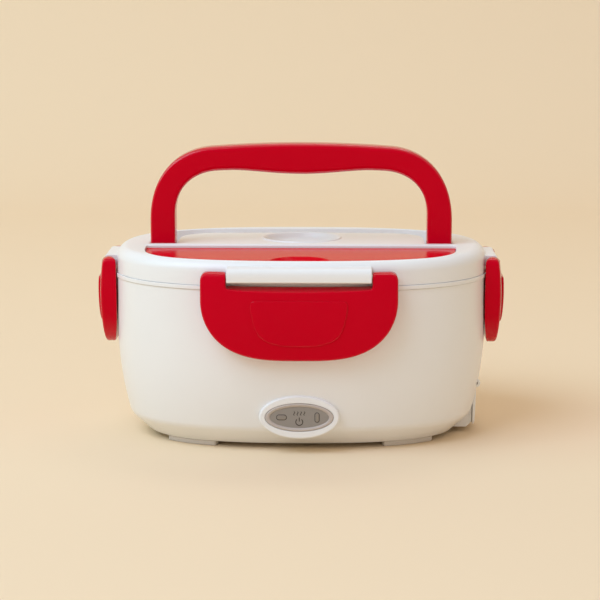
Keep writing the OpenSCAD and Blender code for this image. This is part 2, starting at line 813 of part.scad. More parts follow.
// outline of the folded handle: half width a, reach h behind the hinge axis
function arch_pt(a, h, n, t) =
    [a * spow(cos(t), 2 / n), straight_h + (h - straight_h) * spow(sin(t), 2 / n)];
arch_in_h = handle_h - grip_t;

// outline of the crescent, smaller by e all round: it runs beside the lid's edge in front, and
// draws in to rounded tips
function crescent(e) =
    let (a = cover_half - e, tip = a - tip_in, back = cover_back + e)
    concat([[-tip, -back]],
        [for (i = [0:40])
            let (p = plan_pt(180 + tip_angle + (180 - 2 * tip_angle) * i / 40, -cover_in - e))
            [p.x / pow(1 + pow(abs(p.x) / a, tip_n), 1 / tip_n), p.y]],
        [[tip, -back]]);

lid_outer_profile = concat([[lid_low, rim_lip], [lid_low + 3, rim_lip + 0.1]],
    [for (a = [0:15:90])
        [lid_top - lid_edge_r * (1 - sin(a)), rim_lip + 0.3 + lid_edge_r * (1 - cos(a))]]);

// hinge bar for a latch, from distance `face` in front of the middle back to distance `back`
module hinge_bar(length, face, back, h) {
    union() {
        translate([-length / 2, -face, bar_low]) cube([length, face - back, h - bar_round]);
        translate([-length / 2, bar_round - face, bar_low]) cube([length, face - back - bar_round, h]);
        rod_x(bar_round, -length / 2, length / 2, bar_round - face, bar_low + h - bar_round);
    }
}

// places a piece made for the front on each of the four sides: 0 front, 1 right, 2 rear, 3 left
module on_side(i) {
    rotate(90 * i) children();
}
function side_out(i) = i % 2 == 0 ? half_d : half_w;
function bar_len(i) = i % 2 == 0 ? lug_w : side_lug_w;
function bar_face(i) = side_out(i) + pivot_out + (i % 2 == 0 ? bar_reach : side_bar_reach);
function bar_height(i) = i % 2 == 0 ? bar_h : side_bar_h;

module vent_dish() {
    steps = [[0, 0.5], [0.25, 0.68], [0.55, 0.82], [1, 1], [1.3, 1]];
    skin([for (s = steps) [for (p = oval_2d(vent_w / 2 * s[1], vent_d / 2 * s[1]))
        [p.x, vent_y + p.y, vent_floor + vent_sink * s[0]]]]);
}

module handle_channel() {
    front = grip_r + 0.5;
    translate([0, 0, channel_low]) linear_extrude(lid_h) polygon(concat(
        [[handle_half + handle_gap, -front]],
        [for (i = [0:32]) arch_pt(handle_half + handle_gap, handle_h + handle_gap, arch_out_n, i * 180 / 32)],
        [[-handle_half - handle_gap, -front], [-leg_in + handle_gap, -front]],
        [for (i = [32:-1:0]) arch_pt(leg_in - handle_gap, arch_in_h - belly - handle_gap, arch_in_n,
            i * 180 / 32)],
        [[leg_in - handle_gap, -front]]));
}

module lid_shell() {
    bar_back = grip_r + 0.5;
    color([0.94, 0.92, 0.91]) difference() {
        union() {
            plan_skin(lid_outer_profile);
            for (i = [0:3]) on_side(i)
                hinge_bar(bar_len(i), bar_face(i), side_out(i) - bar_root, bar_height(i));
            translate([-cover_half - 2, -cover_back, lid_top - 3])
                cube([cover_w + 4, cover_back - bar_back, 3 + bar_rise]);
        }
        plan_plate(rim_w - 0.5, lid_low - 1, plate_top);
        // hollow under the raised middle
        translate([0, (arch_in_h - belly) / 2, lid_low - 1])
            linear_extrude(lid_top - plateau_low - lid_low + 1 - vent_sink * 0.4)
                polygon(oval_2d(leg_in - 9, (arch_in_h - belly) / 2 - 4, 4));
        handle_channel();
        // spoon compartment, its seat, and the bore of the cover's hinge
        translate([0, 0, cover_seat]) linear_extrude(10) polygon(crescent(0));
        translate([0, 0, spoon_floor]) linear_extrude(20) polygon(crescent(ledge_w));
        rod_x(cover_stub_r + run_fit, -cover_half - 2.5, cover_half + 2.5, cover_axis_y, cover_axis_z);
        // vent
        vent_dish();
        translate([0, vent_y, lid_low - 2]) cylinder(r = vent_hole_d / 2, h = 20);
        // bores of the handle pins and the latch pins
        rod_x(handle_pin_r + seat_fit, -handle_half - 8.5, handle_half + 8.5, 0, pivot_z);
        for (i = [0:3]) on_side(i)
            rod_x(latch_pin_r + seat_fit, -bar_len(i) / 2 - 1, bar_len(i) / 2 + 1,
                -(side_out(i) + pivot_out), latch_z);
    }
}

module lid_inner_plate() {
    low = rim_h + gap + 0.1;
    top = plate_top - gap;
    groove_top = rim_h - 0.7 + gasket_t + gap;
    color([0.9, 0.89, 0.87]) difference() {
        union() {
            plan_plate(rim_w - 0.1, low, top);
            plan_band(plug_in, plug_in + 1.4, tub_rim_low - 0.6, low + 0.5);
        }
        plan_band(gasket_in - 0.1, gasket_in + gasket_w + 0.1, low - 1, groove_top);
        translate([0, vent_y, 0]) cylinder(r = vent_hole_d / 2, h = 200);
    }
}

module lid_gasket() {
    color([0.85, 0.85, 0.85]) plan_band(gasket_in, gasket_in + gasket_w, rim_h - 0.7,
        rim_h - 0.7 + gasket_t);
}

module latch_pins() {
    color([0.7, 0.71, 0.73]) for (i = [0:3]) on_side(i)
        rod_x(latch_pin_r, -bar_len(i) / 2 - stub_l, bar_len(i) / 2 + stub_l,
            -(side_out(i) + pivot_out), latch_z);
}

module handle_pins() {
    color([0.7, 0.71, 0.73]) for (s = [0, 1]) mirror([s, 0, 0])
        rod_x(handle_pin_r, leg_in - 6, handle_half + 8, 0, pivot_z);
}

// ---------- spoon compartment ----------

// half width of the spoon along its length, u from 0 at the bowl's tip to 1 at the handle's end
function spoon_half(u) = u < 0.34
    ? 1 + 14 * pow(sin(180 * pow(u / 0.34, 0.8)), 0.6) * (1 - 0.25 * u / 0.34)
    : 3.2 + 3.6 * pow((u - 0.34) / 0.66, 1.5);

module spoon() {
    low = spoon_floor + gap;
    y = -(cover_back + cover_reach) / 2 + spoon_shift;
    color([0.88, 0.87, 0.85]) rotate([0, 0, 90]) skin([for (i = [0:26])
        let (u = i / 26, w = i == 0 ? 0.8 : i == 26 ? 4 : spoon_half(u))
        let (x = spoon_l / 2 - u * spoon_l, dip = u < 0.34 ? 1.6 * sin(180 * u / 0.34) : 0)
        [[y - w, x, low], [y - w * 0.5, x, low], [y + w * 0.5, x, low], [y + w, x, low],
         [y + w, x, low + 1.6], [y + w * 0.5, x, low + 2.4 - dip], [y - w * 0.5, x, low + 2.4 - dip],
         [y - w, x, low + 1.6]]]);
}

module spoon_cover() {
    scoop_y = -cover_reach + scoop_back;
    bowl_low = spoon_floor + 1;
    color([0.78, 0.03, 0.1]) difference() {
        union() {
            difference() {
                translate([0, 0, cover_top - cover_plate_t]) linear_extrude(cover_plate_t)
                    polygon(crescent(gap));
                translate([-cover_w, cover_axis_y - 0.3, 0]) cube([2 * cover_w, 40, 200]);
            }
            rod_x(cover_barrel_r, -cover_half + 1.5, cover_half - 1.5, cover_axis_y, cover_axis_z);
            rod_x(cover_stub_r, -cover_half - 1.5, cover_half + 1.5, cover_axis_y, cover_axis_z);
            translate([-cover_half + 3, cover_axis_y - 0.5, cover_axis_z - 0.9]) cube([cover_w - 6, 0.6, 1.8]);
            // bowl of the finger scoop at the front edge
            intersection() {
                translate([0, 0, bowl_low]) linear_extrude(cover_top - bowl_low)
                    polygon(crescent(ledge_w + gap));
                translate([0, scoop_y, bowl_low]) cylinder(r = scoop_bowl_r, h = cover_top - bowl_low);
            }
        }
        translate([0, scoop_y, cover_top + scoop_ball_h]) sphere(r = scoop_ball_r, $fn = 64);
    }
}

// ---------- vent ----------

module vent_plug() {
    stem_r = vent_hole_d / 2 - gap;
    color([0.87, 0.86, 0.85]) translate([0, vent_y, 0]) union() {
        translate([0, 0, vent_floor + gap]) cylinder(r = plug_d / 2, h = 1);
        translate([0, 0, vent_floor + gap + 0.9]) cylinder(r = plug_d / 2 - 4, h = 0.5);
        translate([0, 0, lid_low + 0.5]) cylinder(r = stem_r, h = vent_floor + gap - lid_low);
    }
}

// ---------- latches ----------

// half width of a latch at height z; its lower end is a flattened arc
function latch_half(w, low, z) =
    let (shoulder = latch_z - 13, u = (shoulder - z) / (shoulder - low))
    let (r = 4.5, v = (z - (latch_top - r)) / r)
    u > 0 ? w / 2 * pow(max(0, 1 - u * u), 0.31)
          : v > 0 ? w / 2 - r * (1 - sqrt(max(0, 1 - v * v))) : w / 2;

// outer face of a latch at height z, outwards from the rim band
function latch_face(low, z) =
    let (m = (latch_top + low) / 2 + 4, k = (z - m) / (latch_top - low) * 2)
    latch_out - 2.4 * k * k;

module latch(w, low, along, out) {
    curve = [for (a = [3, 8, 15, 24, 35, 48, 62, 76, 90]) latch_z - 13 - (latch_z - 13 - low) * cos(a)];
    levels = concat(curve, [latch_z - 8, latch_z - 3, latch_top - 4.5,
        for (a = [22.5, 45, 67.5, 86]) latch_top - 4.5 + 4.5 * sin(a)]);
    skin([for (z = levels)
        let (hw = latch_half(w, low, z), f = latch_face(low, z), mid = (f + latch_inner) / 2)
        let (e = min(1, (z - low + 1.2) / 3, (latch_top - z + 1.2) / 3))
        let (ht = (f - latch_inner) / 2 * sqrt(max(0.1, 1 - (1 - e) * (1 - e))))
        [for (i = [0:31])
            let (s = i <= 16 ? i - 8 : 24 - i, x = hw * sin(s * 11.25))
            let (q = ht * pow(max(0, 1 - pow(abs(sin(s * 11.25)), 5)), 0.2))
            [x, -(out + mid + (i <= 16 ? q : -q) - latch_bend * sag(x, along, out)), z]]]);
}

module latch_piece(i) {
    w = i % 2 == 0 ? latch_w : side_latch_w;
    low = i % 2 == 0 ? latch_low : side_latch_low;
    notch = bar_len(i) / 2 + 0.4;
    color([0.76, 0.02, 0.1]) on_side(i) difference() {
        latch(w, low, side_out(i + 1), side_out(i));
        translate([-notch, -(side_out(i) + 20), notch_low]) cube([2 * notch, 30, 30]);
        rod_x(latch_pin_r + run_fit, -bar_len(i) / 2 - stub_l - gap, bar_len(i) / 2 + stub_l + gap,
            -(side_out(i) + pivot_out), latch_z);
    }
}

module front_latch() {
    latch_piece(0);
}

module right_latch() {
    latch_piece(1);
}

module rear_latch() {
    latch_piece(2);
}

module left_latch() {
    latch_piece(3);
}

// ---------- handle ----------

module handle() {
    n_side = 20;
    bumps = [for (a = [-80, -55, -30, 0]) [pivot_z + grip_r * sin(a), grip_r * cos(a)]];
    arch = [for (i = [0:28]) 180 - i * 180 / 28];
    leg_mid = (handle_half + leg_in) / 2;
    // a ring of the section between its outer point o and inner point p, half depth b
    function section(o, p, b) = [for (k = [0:n_side - 1])
        let (a = 360 * k / n_side, m = (o + p) / 2)
        [m.x + (p.x - m.x) * spow(cos(a), 0.55), b * spow(sin(a), 0.55),
         m.y + (p.y - m.y) * spow(cos(a), 0.55)]];
    function swell(x) = belly * (1 + cos(min(180, 180 * abs(x) / belly_half))) / 2;
    left = [for (b = bumps) section([-handle_half, b[0]], [-leg_in, b[0]], b[1])];
    right = [for (i = [3:-1:0]) let (b = bumps[i]) section([handle_half, b[0]], [leg_in, b[0]], b[1])];
    top = [for (t = arch)
        let (o = arch_pt(handle_half, handle_h, arch_out_n, t), p = arch_pt(leg_in, arch_in_h, arch_in_n, t))
        section([o.x, pivot_z + o.y], [p.x, pivot_z + p.y - swell(p.x)], grip_r)];
    color([0.78, 0.03, 0.1]) difference() {
        skin(concat(left, top, right));
        for (s = [0, 1]) mirror([s, 0, 0])
            rod_x(handle_pin_r + run_fit, leg_in - 5, handle_half + 5, 0, pivot_z);
    }
}

// ---------- the pieces ----------

body_shell();
inner_well();
heating_plate();
heater_element();
insulation_pad();
heater_clamp();
clamp_screws();
thermostat();
thermal_fuse();
terminal_block();
wire_live();
wire_neutral();
wire_heater();
wire_fuse();
wire_lamps();
indicator_board();
heat_lamp();
power_lamp();
panel_plate();
panel_inlay();
lamp_windows();
power_symbol();
inlet_housing();
inlet_contacts();
inlet_flap();
flap_pin();
base_cover();
base_screws();
feet();
main_container();
side_container();
side_container_lid();
lid_shell();
lid_inner_plate();
lid_gasket();
latch_pins();
handle_pins();
spoon();
spoon_cover();
vent_plug();
front_latch();
rear_latch();
left_latch();
right_latch();
handle();
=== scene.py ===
import math

import bmesh
import bpy
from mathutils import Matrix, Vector
from mathutils.geometry import delaunay_2d_cdt


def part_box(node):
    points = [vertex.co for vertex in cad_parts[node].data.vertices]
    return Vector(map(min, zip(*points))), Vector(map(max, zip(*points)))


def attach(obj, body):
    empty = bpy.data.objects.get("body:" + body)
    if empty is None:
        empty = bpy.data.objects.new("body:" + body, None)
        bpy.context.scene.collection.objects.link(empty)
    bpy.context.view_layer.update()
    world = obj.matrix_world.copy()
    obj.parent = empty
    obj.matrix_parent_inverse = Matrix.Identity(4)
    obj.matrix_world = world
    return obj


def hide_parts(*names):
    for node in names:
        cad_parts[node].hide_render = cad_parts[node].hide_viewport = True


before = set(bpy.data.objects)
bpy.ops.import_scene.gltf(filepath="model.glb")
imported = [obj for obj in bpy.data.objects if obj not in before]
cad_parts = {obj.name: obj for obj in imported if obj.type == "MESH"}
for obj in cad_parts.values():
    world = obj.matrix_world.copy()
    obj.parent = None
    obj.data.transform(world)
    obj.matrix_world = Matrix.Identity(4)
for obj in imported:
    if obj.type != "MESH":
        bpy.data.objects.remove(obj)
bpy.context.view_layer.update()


# ---------- Body shell ----------
# One moulding in glossy white polypropylene, oval in plan, with a rim band at the top that the
# lid closes on. Its wall leans in towards a soft crease and turns under to the base opening.

MM = 0.001                       # the sizes below are in millimetres


def box(node):
    """Low and high corner of a CAD piece."""
    return [[v / MM for v in corner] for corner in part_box(node)]


HALF_W, HALF_D, RIM_TOP = box("body_shell")[1]
BASE_LOW = box("body_shell")[0][2]
SQUARENESS = 2.5                 # of the oval plan outline, where 2 is an ellipse
PLAN_POINTS = 240
RIM_LOW = RIM_TOP - 2.2          # underside of the rim band
RIM_LIP = 0.9                    # how far the rim band stands out from the wall
RIM_WIDTH = 6.0
BAND_IN = 0.3                    # inset of the rim band's outer face
WALL = 2.4
CREASE_Z = 13.0
CREASE_IN = 8.5
BASE_IN = 19.5


def turn(count, shift=0.0):
    """Angles spread evenly round a circle."""
    return [2 * math.pi * (i + shift) / count for i in range(count)]


def arc(start, end, steps):
    """Angles in even steps between two angles given in degrees."""
    return [math.radians(start + (end - start) * i / steps) for i in range(steps + 1)]


def power(value, exponent):
    """The power of a value that keeps its sign."""
    return math.copysign(abs(value) ** exponent, value)


def plan_point(angle, inset):
    """Point of the oval plan outline, moved inwards square to the outline."""
    x = HALF_W * power(math.cos(angle), 2 / SQUARENESS)
    y = HALF_D * power(math.sin(angle), 2 / SQUARENESS)
    out = Vector((power(x / HALF_W, SQUARENESS - 1) / HALF_W,
                  power(y / HALF_D, SQUARENESS - 1) / HALF_D)).normalized()
    return Vector((x, y)) - inset * out


def distances(line):
    """Distance along a line at each of its points."""
    reach = [0.0]
    for a, b in zip(line, line[1:]):
        reach.append(reach[-1] + (b - a).length)
    return reach


def evenly(points, count, closed=False):
    """Points at even distances along a line of points."""
    line = [Vector(p) for p in points]
    if closed:
        line.append(line[0])
    reach = distances(line)
    result, k = [], 0
    steps = count if closed else count - 1
    for i in range(count):
        want = reach[-1] * i / steps
        while k < len(line) - 2 and reach[k + 1] < want:
            k += 1
        span = max(reach[k + 1] - reach[k], 1e-9)
        result.append(line[k].lerp(line[k + 1], min(1.0, (want - reach[k]) / span)))
    return result


def even_angles(count):
    """Angles that spread points evenly round the plan outline."""
    fine = 7200
    reach = distances([plan_point(2 * math.pi * i / fine, 0) for i in range(fine + 1)])
    angles, k = [], 0
    for i in range(count):
        while reach[k] < reach[-1] * i / count:
            k += 1
        angles.append(2 * math.pi * k / fine)
    return angles


PLAN_ANGLES = even_angles(PLAN_POINTS)


def plan_rings(profile):
    """Rings that follow the plan outline, from a list of (inset, height)."""
    return [[(*plan_point(a, inset), z) for a in PLAN_ANGLES] for inset, z in profile]


def as_object(name, mesh):
    """Makes an object of a finished mesh."""
    bmesh.ops.recalc_face_normals(mesh, faces=mesh.faces)
    data = bpy.data.meshes.new(name)
    mesh.to_mesh(data)
    mesh.free()
    piece = bpy.data.objects.new(name, data)
    bpy.context.collection.objects.link(piece)
    return piece


def skin(name, rings, closed=False):
    """A surface through rings of equally many points. It has a flat face on its first and last
    ring, or, when closed, runs from the last ring back to the first."""
    mesh = bmesh.new()
    rows = [[mesh.verts.new(Vector(p) * MM) for p in ring] for ring in rings]
    pairs = list(zip(rows, rows[1:]))
    if closed:
        pairs.append((rows[-1], rows[0]))
    else:
        mesh.faces.new(rows[0])
        mesh.faces.new(rows[-1])
    for low, high in pairs:
        for i in range(len(low)):
            mesh.faces.new((low[i - 1], low[i], high[i], high[i - 1]))
    bmesh.ops.remove_doubles(mesh, verts=mesh.verts, dist=1e-6)
    return as_object(name, mesh)


def carve(piece, tool, how="DIFFERENCE"):
    """Takes the tool's shape out of the piece, or joins it on, and leaves no modifier behind."""
    cut = piece.modifiers.new("cut", "BOOLEAN")
    cut.operation = how
    cut.solver = "EXACT"
    cut.object = tool
    bpy.context.view_layer.update()
    shown = piece.evaluated_get(bpy.context.evaluated_depsgraph_get())
    data = bpy.data.meshes.new_from_object(shown)
    piece.modifiers.clear()
    piece.data = data
    bpy.data.objects.remove(tool)


def body_inset(z):
    """Inset of the outer wall from the rim band at height z."""
    if z < CREASE_Z:
        return BASE_IN + (CREASE_IN - BASE_IN) * (z - BASE_LOW) / (CREASE_Z - BASE_LOW)
    return RIM_LIP + (CREASE_IN - RIM_LIP) * ((RIM_LOW - z) / (RIM_LOW - CREASE_Z)) ** 3


def soft_corner(before, corner, after, radius, steps=6):
    """Points that round the corner between two straight stretches of a profile."""
    a, b, c = Vector(before), Vector(corner), Vector(after)
    start = b + (a - b).normalized() * radius
    end = b + (c - b).normalized() * radius
    return [start.lerp(b, t).lerp(b.lerp(end, t), t) for t in (i / steps for i in range(steps + 1))]


# the profile is a list of (inset, height), from the base opening up the outside and down inside
base_edge = soft_corner((BASE_IN + WALL, BASE_LOW), (BASE_IN, BASE_LOW),
                        (body_inset(BASE_LOW + 2), BASE_LOW + 2), 0.9)
crease = soft_corner((body_inset(CREASE_Z - 4), CREASE_Z - 4), (CREASE_IN, CREASE_Z),
                     (body_inset(CREASE_Z + 4), CREASE_Z + 4), 2.6, 10)
wall = [(body_inset(z), z) for z in [CREASE_Z + 4 + 3 * i for i in range(26)]]
outer_wall = base_edge + crease + wall
shadow_groove = [(RIM_LIP, RIM_LOW - 0.45), (RIM_LIP + 0.1, RIM_LOW - 0.3),
                 (RIM_LIP + 0.35, RIM_LOW - 0.22), (RIM_LIP + 0.35, RIM_LOW)]
rim_band = (soft_corner((RIM_LIP, RIM_LOW), (BAND_IN, RIM_LOW), (BAND_IN, RIM_TOP), 0.2, 3)
            + soft_corner((BAND_IN, RIM_LOW), (BAND_IN, RIM_TOP), (RIM_WIDTH, RIM_TOP), 0.25, 4)
            + soft_corner((0, RIM_TOP), (RIM_WIDTH, RIM_TOP), (RIM_WIDTH, RIM_LOW), 0.4, 4))
inner_wall = [(RIM_WIDTH, RIM_LOW), (RIM_LIP + WALL, RIM_LOW - 0.01)] + [
    (body_inset(z) + WALL, z) for z in (80, 60, 40, 24, CREASE_Z, 8)] + [(BASE_IN + WALL, BASE_LOW)]
body = skin("body", plan_rings(outer_wall + shadow_groove + rim_band + inner_wall), closed=True)

# boss behind the indicator panel: an upright oval pad that grows out of the leaning wall
(_, panel_front, panel_low), (PANEL_HALF_W, _, panel_high) = box("panel_plate")
PANEL_Z, PANEL_HALF_H = (panel_low + panel_high) / 2, (panel_high - panel_low) / 2
PANEL_FACE = -panel_front - 0.15
PAD_EDGE = 3.4
PAD_ROUND = 1.2
PAD_DEPTH = 11.0


def oval(half_w, half_h, roundness=2.0, count=96):
    """Closed oval outline; roundness 2 is an ellipse and larger is squarer."""
    return evenly([Vector((half_w * power(math.cos(t), 2 / roundness),
                           half_h * power(math.sin(t), 2 / roundness))) for t in turn(1440)],
                  count, closed=True)


def grown(outline, distance):
    """A closed anticlockwise outline moved outwards square to itself."""
    result, count = [], len(outline)
    for i, point in enumerate(outline):
        back = (point - outline[i - 1]).normalized()
        ahead = (outline[(i + 1) % count] - point).normalized()
        first, second = Vector((back.y, -back.x)), Vector((ahead.y, -ahead.x))
        out = (first + second).normalized()
        result.append(point + out * distance / max(0.5, out.dot(first)))
    return result


def front_rings(outline, profile):
    """Rings on the front at the panel's height, from a list of (growth, distance forward)."""
    return [[(p.x, -far, PANEL_Z + p.y) for p in grown(outline, growth)] for growth, far in profile]


def quarter(radius, steps=5):
    """Points of a rounded edge, as (how far in, how far down) from its full corner."""
    return [(radius * (1 - math.sin(a)), radius * (1 - math.cos(a))) for a in arc(0, 90, steps)]


pad = front_rings(oval(PANEL_HALF_W + PAD_EDGE, PANEL_HALF_H + PAD_EDGE + 1), [
    (0, PANEL_FACE - PAD_DEPTH)] + [(-inwards, PANEL_FACE - down) for down, inwards in quarter(PAD_ROUND)])
carve(body, skin("pad", pad), "UNION")
pocket = front_rings(oval(PANEL_HALF_W + 0.12, PANEL_HALF_H + 0.12), [
    (0, PANEL_FACE - 1.5), (0, PANEL_FACE - 0.35), (0.3, PANEL_FACE + 0.02), (0.7, PANEL_FACE + 0.5)])
carve(body, skin("pocket", pocket))

# recess for the inlet flap in the right-hand wall, open at the bottom, with two hinge lugs
INLET_FACE, _, INLET_TOP = box("inlet_housing")[1]
FLAP_HALF = box("inlet_flap")[1][1]
HINGE_X, HINGE_Z = [sum(ends) / 2 for ends in zip(*box("flap_pin"))][::2]
RECESS_HALF = FLAP_HALF + 0.3
RECESS_TOP = HINGE_Z + 2.1
SOCKET_HALF = 15.3
LUG_R = 2.4
LUG_L = 3.0


def side_wall_x(y, z):
    """Where the right-hand outer wall is at that place."""
    inset = body_inset(max(z, BASE_LOW))
    reach = 1 - (min(abs(y), HALF_D - 1) / (HALF_D - inset)) ** SQUARENESS
    return (HALF_W - inset) * max(reach, 0.0) ** (1 / SQUARENESS)


def block(name, start, end, half, low, high):
    """A box from start to end along X and from -half to half along Y."""
    return skin(name, [[(x, y, z) for y, z in ((-half, low), (half, low), (half, high), (-half, high))]
                       for x in (start, end)])


def rod(name, radius, start, end, across, height, way="Y", edge=0.4, count=32):
    """A round bar with softened ends that runs along X or Y."""
    rings = []
    for inwards, reach in ((edge, start), (0, start + edge), (0, end - edge), (edge, end)):
        ring = [(across + (radius - inwards) * math.cos(a), reach,
                 height + (radius - inwards) * math.sin(a)) for a in turn(count)]
        rings.append(ring if way == "Y" else [(y, x, z) for x, y, z in ring])
    return skin(name, rings)


back_wall = block("back_wall", INLET_FACE - 2.6, INLET_FACE + 0.8, RECESS_HALF + LUG_L,
                  BASE_LOW + 0.3, RECESS_TOP + 3)
carve(back_wall, skin("outer_form", plan_rings([(inset + 0.2, z) for inset, z in outer_wall])), "INTERSECT")
carve(body, back_wall, "UNION")
recess_outline = evenly([(-RECESS_HALF, BASE_LOW - 6), (RECESS_HALF, BASE_LOW - 6),
                         (RECESS_HALF, RECESS_TOP), (-RECESS_HALF, RECESS_TOP)], 96, closed=True)
recess_rings = [[(INLET_FACE, p.x, p.y) for p in recess_outline]]
for growth, proud in ((0, -0.8), (0.06, -0.45), (0.23, -0.18), (0.5, 0.0), (1.1, 0.25)):
    recess_rings.append([(max(side_wall_x(p.x, p.y) + proud, INLET_FACE + 1 + growth), p.x, p.y)
                         for p in grown(recess_outline, growth)])
recess_rings.append([(HALF_W + 4, p.x, p.y) for p in grown(recess_outline, 1.6)])
carve(body, skin("recess", recess_rings))
carve(body, block("socket_room", INLET_FACE - 20, INLET_FACE + 20, SOCKET_HALF, BASE_LOW - 4, INLET_TOP + 0.3))
for start in (-RECESS_HALF - LUG_L, RECESS_HALF):
    carve(body, rod("lug", LUG_R, start, start + LUG_L, HINGE_X, HINGE_Z), "UNION")


def add(tree, kind, inputs, **settings):
    """A new node. Each of its inputs gets a value, or a link from another node's output."""
    node = tree.nodes.new("ShaderNode" + kind)
    for setting, value in settings.items():
        setattr(node, setting, value)
    for socket, value in inputs.items():
        if isinstance(value, bpy.types.NodeSocket):
            tree.links.new(value, node.inputs[socket])
        else:
            node.inputs[socket].default_value = value
    return node


def new_material(name):
    """A node material, its tree, and the place on the piece for textures to use."""
    material = bpy.data.materials.new(name)
    material.use_nodes = True
    return material, material.node_tree, add(material.node_tree, "TexCoord", {}).outputs["Object"]


def shades(colour, darker, lighter):
    return [[min(1.0, c * share) for c in colour] for share in (darker, lighter)]


def surface(tree, mask, colours, roughness, spread, relief, strength, distance=0.0002):
    """Lets a mask blend two colours and spread the roughness, and a relief drive the bump."""
    shader = tree.nodes["Principled BSDF"]
    tone = add(tree, "Mix", {"Factor": mask, 6: (*colours[0], 1), 7: (*colours[1], 1)}, data_type="RGBA")
    sheen = add(tree, "MapRange", {"Value": mask, "To Min": roughness * spread[0],
                                   "To Max": min(1.0, roughness * spread[1])})
    bump = add(tree, "Bump", {"Height": relief, "Strength": strength, "Distance": distance})
    for socket, output in (("Base Color", tone.outputs[2]), ("Roughness", sheen.outputs["Result"]),
                           ("Normal", bump.outputs["Normal"])):
        tree.links.new(output, shader.inputs[socket])
    return shader


def moulded(name, colour, roughness, grain=0.06, scale=420.0, gloss=0.5, edge_gloss=None):
    """Injection-moulded plastic: faint flow marks in the colour, uneven gloss and a fine skin. With
    edge_gloss its gloss rises from the one to the other where the surface turns away."""
    material, tree, place = new_material(name)
    flow = add(tree, "TexNoise", {"Vector": place, "Scale": 14.0, "Detail": 3.0}).outputs["Fac"]
    peel = add(tree, "TexNoise", {"Vector": place, "Scale": scale, "Detail": 2.0}).outputs["Fac"]
    shader = surface(tree, flow, shades(colour, 0.97, 1.03), roughness, (0.85, 1.15), peel, grain)
    shader.inputs["Specular IOR Level"].default_value = gloss
    if edge_gloss is not None:
        facing = add(tree, "LayerWeight", {"Blend": 0.5}).outputs["Facing"]
        rise = add(tree, "MapRange", {"Value": facing, "From Min": 0.07, "From Max": 0.32, "To Min": gloss,
                                      "To Max": edge_gloss}, interpolation_type="SMOOTHSTEP")
        tree.links.new(rise.outputs["Result"], shader.inputs["Specular IOR Level"])
    return material


def paint(piece, material):
    """Gives a piece one material in place of what it had."""
    piece.data.materials.clear()
    piece.data.materials.append(material)


def even_shading(piece):
    """Shading that gives large faces more weight than the narrow ones of a rounded edge."""
    weighted = piece.modifiers.new("even_shading", "WEIGHTED_NORMAL")
    weighted.keep_sharp = True
    weighted.weight = 90


def polish(piece, crease):
    """Smooth shading that breaks at edges sharper than the crease angle."""
    mesh = bmesh.new()
    mesh.from_mesh(piece.data)
    bmesh.ops.remove_doubles(mesh, verts=mesh.verts, dist=2e-6)
    bmesh.ops.dissolve_degenerate(mesh, edges=mesh.edges, dist=2e-6)
    for face in mesh.faces:
        face.smooth = True
    for edge in mesh.edges:
        edge.smooth = edge.calc_face_angle(0.0) < math.radians(crease)
    mesh.to_mesh(piece.data)
    mesh.free()
    even_shading(piece)


def complete(piece, material, node, rides, crease=38):
    """Finishes a piece and puts it in the place of its CAD node, on the body that it rides."""
    polish(piece, crease)
    paint(piece, material)
    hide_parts(node)
    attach(piece, rides)


white_plastic = moulded("white_polypropylene", (0.87, 0.865, 0.85), 0.30)
complete(body, white_plastic, "body_shell", "base")


# ---------- Indicator panel ----------
# A satin grey oval with a raised rim, pressed into the boss. It holds a darker inlay printed with
# a power symbol and heat waves, and two frosted windows over the lamps.

BEZEL_W = 2.6
PRINT = 0.12                     # thickness of the print
PRINT_FACE = PANEL_FACE - 0.35
FRONT = PANEL_FACE + 0.15       # front of the rim
inner_outline = oval(PANEL_HALF_W - BEZEL_W, PANEL_HALF_H - 0.75 * BEZEL_W)
bezel = skin("panel_rim", front_rings(oval(PANEL_HALF_W, PANEL_HALF_H), (
    (-0.3, FRONT - 1.6), (0, FRONT - 1.2), (0, FRONT - 0.55), (-0.16, FRONT - 0.2), (-0.5, FRONT - 0.02),
    (-0.9, FRONT))) + front_rings(inner_outline, (
        (1.0, FRONT - 0.03), (0.5, FRONT - 0.16), (0.2, FRONT - 0.36), (0, FRONT - 0.62), (0, FRONT - 1.2))),
    closed=True)
inlay = skin("panel_inlay", front_rings(inner_outline, [
    (0.1, FRONT - 1.2), (0.1, FRONT - 0.62), (-0.2, FRONT - 0.55)]))


def capsule(length, width, count=40):
    """Outline of a slot with round ends, long way across."""
    reach, r = (length - width) / 2, width / 2
    return evenly([Vector((math.copysign(reach, math.cos(t)) + r * math.cos(t), r * math.sin(t)))
                   for t in turn(240, 0.5)], count, closed=True)


def windows(x, length, width, upright):
    """A frosted lens in front of a lamp, with a thin ring of dark ink round it as painted shade for the groove round
    the lens.
    """
    lens = capsule(length, width)
    if upright:
        lens = [Vector((p.y, p.x)) for p in reversed(lens)]
    lens = [p + Vector((x, 0)) for p in lens]
    dome = skin("lamp_window", front_rings(lens, (
        (0, FRONT - 1.0), (0, FRONT - 0.5), (-0.15, FRONT - 0.32), (-0.5, FRONT - 0.25))))
    # thin dark ring, painted shade standing in for the groove round the lens
    edge = skin("window_painted_groove_shade", front_rings(lens, (
        (0, FRONT - 0.7), (0, FRONT - 0.5), (0.34, FRONT - 0.5), (0.34, FRONT - 0.7))), closed=True)
    return dome, edge


LAMP_X = 10.0
left_window, left_painted_groove_shade = windows(-LAMP_X, 5.4, 2.6, False)
right_window, right_painted_groove_shade = windows(LAMP_X, 5.2, 2.2, True)


